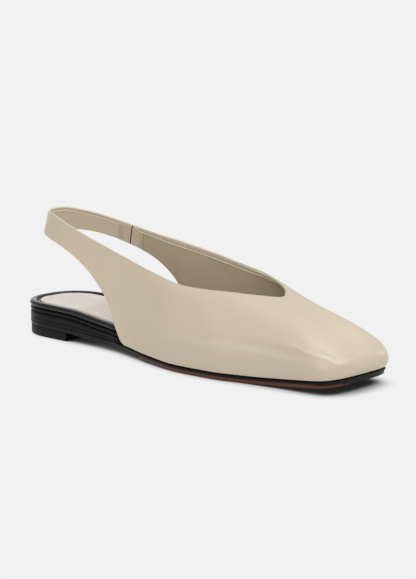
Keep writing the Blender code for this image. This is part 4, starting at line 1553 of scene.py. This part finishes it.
class SHOE_OT_sock(ShoeMaker, bpy.types.Operator):
    """Make the pale sock that the foot stands on"""

    bl_idname = "shoe.make_sock"
    bl_label = "Make Sock"

    def execute(self, context):
        covers = {side: cover_start(side, sock_top) for side in (LATERAL, MEDIAL)}
        ring, insets, _, side_count = layer_ring(LENGTH, RIM_WIDTH, 0.0, covers)
        edge = np.array(offset_ring(ring, insets))
        count = len(ring)
        spread = 0.5 - 0.5 * np.cos(np.linspace(0.0, math.pi, SOCK_COLUMNS + 1))
        rows = []
        for index in range(1, side_count - 1):
            right, left = edge[index], edge[(count - index) % count]
            station = ring[index][0]
            line = right + (left - right) * spread[:, None]
            room = np.minimum(spread, 1 - spread) * abs(left[1] - right[1])
            room = np.minimum(room, min(line[0, 0] - edge[0, 0], edge[side_count - 1, 0] - line[0, 0]))
            rise = np.sqrt(1 - (1 - np.clip(room / SOCK_ROUND, 0.0, 1.0)) ** 2)
            waves = np.sin(line[:, 0] * CREASE_RATE + CREASE_SWAY * np.sin(line[:, 1] * SWAY_RATE))
            crease = CREASE_HEIGHT * waves * hump(line[:, 0] - CREASE_MIDDLE, CREASE_REACH)
            low = recess_floor(station) + GAP
            x, y = line[:, 0] - TREAD_CENTRE, line[:, 1]
            top = np.column_stack([x, y, low + (SOCK_HEIGHT + crease) * rise])
            under = np.column_stack([x, y, np.full(len(line), low - GAP / 2)])
            rows.append(np.concatenate([top, under[::-1]]))
        item = object_from_rows("sock", np.array(rows))
        item.data.materials.append(calf_leather(
            "sock_leather", tuple(self.colours.sock), tuple(self.colours.sock), gloss=0.46))
        finish_piece(item, "sock_leather", "insole_sock")
        return {"FINISHED"}


class SHOE_OT_sole(ShoeMaker, bpy.types.Operator):
    """Make the sole's layers: bead, ridge, heel band, sole and top lift"""

    bl_idname = "shoe.make_sole"
    bl_label = "Make Sole"

    def execute(self, context):
        black = tuple(self.colours.black)
        edge = polished_edge("black_edge", black)
        bead_finish = polished_edge("black_bead", black, gloss=0.20, level=0.30)
        bead = layer_object("footbed_bead", over(rand_top), footbed_top, BEAD)
        bead.data.materials.append(bead_finish)
        finish_piece(bead, "black_edge", "footbed_rim")
        ridge = layer_object("rand_ridge", over(wedge_top), rand_top, RIDGE, RAND_END * LENGTH)
        ridge.data.materials.append(edge)
        finish_piece(ridge, "black_edge", "rand")
        band = layer_object("heel_band", sole_top, wedge_top, BAND, WEDGE_END * LENGTH)
        band.data.materials.append(edge)
        finish_piece(band, "black_edge", "heel_wedge")
        sole = layer_object("sole", sole_bottom, sole_top, SOLE_EDGE, set_in=HEEL_SET_IN, covered=False,
                            heel_squeeze=HEEL_SQUEEZE)
        keep_values(sole, "ink", ink_shares(SOLE_EDGE, layer_ring(LENGTH, 0.0, 0.0, None)[0]))
        sole.data.materials.append(inked_sole("sole_leather", tuple(self.colours.sole), black))
        finish_piece(sole, "sole_leather", "outsole")
        lift = layer_object("heel_lift", lambda x: 0.0, sole_bottom, LIFT_EDGE, LIFT_FRONT + LIFT_INSET,
                            inset=LIFT_INSET, covered=False)
        lift.data.materials.append(lift_material("lift_rubber", black))
        finish_piece(lift, "lift_rubber", "top_lift")
        for item in (bead, ridge, band, sole, lift):
            sharpen(item, SHARP_ANGLE)
        return {"FINISHED"}


class SHOE_OT_stage(ShoeMaker, bpy.types.Operator):
    """Make the floor, the lights and the camera"""

    bl_idname = "shoe.make_stage"
    bl_label = "Make Stage"

    def light(self, lamp):
        data = bpy.data.lights.new(lamp.name, "AREA")
        data.shape = "RECTANGLE"
        data.size, data.size_y = lamp.size
        data.energy = getattr(self.stage, lamp.name + "_power")
        item = add_object(lamp.name, data)
        item.location = lamp.place
        item.rotation_euler = (Vector(lamp.aim) - Vector(lamp.place)).to_track_quat("-Z", "Y").to_euler()
        item.visible_camera = False

    def floor(self):
        mesh = bpy.data.meshes.new("floor")
        back, front = FLOOR_SHIFT - FLOOR_REACH, FLOOR_SHIFT + FLOOR_REACH
        mesh.from_pydata([(back, -FLOOR_REACH, FLOOR_LEVEL), (front, -FLOOR_REACH, FLOOR_LEVEL),
                          (front, FLOOR_REACH, FLOOR_LEVEL), (back, FLOOR_REACH, FLOOR_LEVEL)],
                         [], [(0, 1, 2, 3)])
        item = add_object("floor", mesh)
        shader = Shader("studio_floor", tuple(self.colours.floor), roughness=0.9)
        # The floor glows evenly in the backdrop's colour, with a painted contact shadow where the tilted
        # occlusion finds shelter
        shelter = shader.add("ShaderNodeAmbientOcclusion", samples=16)
        shelter.inputs["Distance"].default_value = SHADOW_REACH
        tilt = shader.add("ShaderNodeCombineXYZ")
        for axis, value in zip("XYZ", SHADOW_TILT):
            tilt.inputs[axis].default_value = value
        shader.link(tilt.outputs["Vector"], shelter.inputs["Normal"])
        curve = shader.add("ShaderNodeMapRange")
        curve.inputs["From Min"].default_value = SHADOW_FULL
        curve.inputs["From Max"].default_value = SHADOW_NONE
        shader.link(shelter.outputs["AO"], curve.inputs["Value"])
        glow = shader.add("ShaderNodeEmission")
        dark = shade(tuple(self.colours.floor), SHADOW_DARK)
        tone = shader.mixed(curve.outputs["Result"], dark, tuple(self.colours.backdrop))
        shader.link(tone, glow.inputs["Color"])
        shader.link(glow.outputs["Emission"], shader.tree.nodes["Material Output"].inputs["Surface"])
        mesh.materials.append(shader.material)

    def world(self):
        world = bpy.data.worlds.new("studio")
        world.use_nodes = True
        tree = world.node_tree
        background = tree.nodes["Background"]
        place = tree.nodes.new("ShaderNodeTexCoord")
        split = tree.nodes.new("ShaderNodeSeparateXYZ")
        ramp = tree.nodes.new("ShaderNodeValToRGB")
        ramp.color_ramp.elements[0].position = 0.0
        ramp.color_ramp.elements[0].color = BACKDROP_SHADE
        ramp.color_ramp.elements[1].position = BACKDROP_PLAIN
        ramp.color_ramp.elements[1].color = tuple(self.colours.backdrop)
        shift = tree.nodes.new("ShaderNodeMapRange")
        shift.inputs["From Min"].default_value = -1.0
        tree.links.new(place.outputs["Generated"], split.inputs["Vector"])
        tree.links.new(split.outputs["X"], shift.inputs["Value"])
        tree.links.new(shift.outputs["Result"], ramp.inputs["Fac"])
        tree.links.new(ramp.outputs["Color"], background.inputs["Color"])
        bpy.context.scene.world = world

    def camera(self):
        stage = self.stage
        azimuth, elevation = stage.azimuth, stage.elevation
        right = Vector((math.cos(azimuth), math.sin(azimuth), 0.0))
        back = Vector((math.sin(azimuth) * math.cos(elevation), -math.cos(azimuth) * math.cos(elevation),
                       math.sin(elevation)))
        up = back.cross(right)
        middle = Vector((LOOK_STATION - TREAD_CENTRE, 0.0, 0.0))
        look = (-back + right * ((VIEW_PX[0] - SOLVED_PX[0]) / PHOTO_SCALE)
                - up * ((VIEW_PX[1] - SOLVED_PX[1]) / PHOTO_SCALE))
        data = bpy.data.cameras.new("camera")
        data.sensor_width = SENSOR * 1000
        data.lens = PHOTO_SCALE * stage.zoom * data.sensor_width / FRAME_HEIGHT_PX
        data.clip_start = CLIP_START
        item = add_object("camera", data)
        item.location = middle + back * stage.distance
        item.rotation_euler = look.to_track_quat("-Z", "Y").to_euler()
        bpy.context.scene.camera = item

    def execute(self, context):
        self.floor()
        self.world()
        for lamp in LAMPS:
            self.light(lamp)
        self.camera()
        bpy.context.scene.view_settings.view_transform = "Standard"
        return {"FINISHED"}


class SHOE_PT_panel(bpy.types.Panel):
    """Sizes, colours and makers of the shoe"""

    bl_idname = "SHOE_PT_panel"
    bl_label = "Sling Back Flat"
    bl_space_type = "VIEW_3D"
    bl_region_type = "UI"
    bl_category = "Shoe"

    def draw(self, context):
        scene = context.scene
        for group in (scene.shoe_sizes, scene.shoe_colours, scene.shoe_stage):
            box = self.layout.box()
            for name in group.__annotations__:
                box.prop(group, name)
        for maker in MAKERS:
            self.layout.operator(maker.bl_idname)


MAKERS = (SHOE_OT_upper, SHOE_OT_lining, SHOE_OT_gore, SHOE_OT_sock, SHOE_OT_sole, SHOE_OT_stage)
CLASSES = (ShoeSizes, ShoeColours, ShoeStage) + MAKERS + (SHOE_PT_panel,)


def register():
    for item in CLASSES:
        bpy.utils.register_class(item)
    bpy.types.Scene.shoe_sizes = PointerProperty(type=ShoeSizes)
    bpy.types.Scene.shoe_colours = PointerProperty(type=ShoeColours)
    bpy.types.Scene.shoe_stage = PointerProperty(type=ShoeStage)


def unregister():
    del bpy.types.Scene.shoe_stage
    del bpy.types.Scene.shoe_colours
    del bpy.types.Scene.shoe_sizes
    for item in reversed(CLASSES):
        bpy.utils.unregister_class(item)


def main():
    register()
    bpy.ops.shoe.make_stage()
    bpy.ops.shoe.make_upper()
    bpy.ops.shoe.make_lining()
    bpy.ops.shoe.make_gore()
    bpy.ops.shoe.make_sock()
    bpy.ops.shoe.make_sole()


if __name__ == "__main__":
    main()
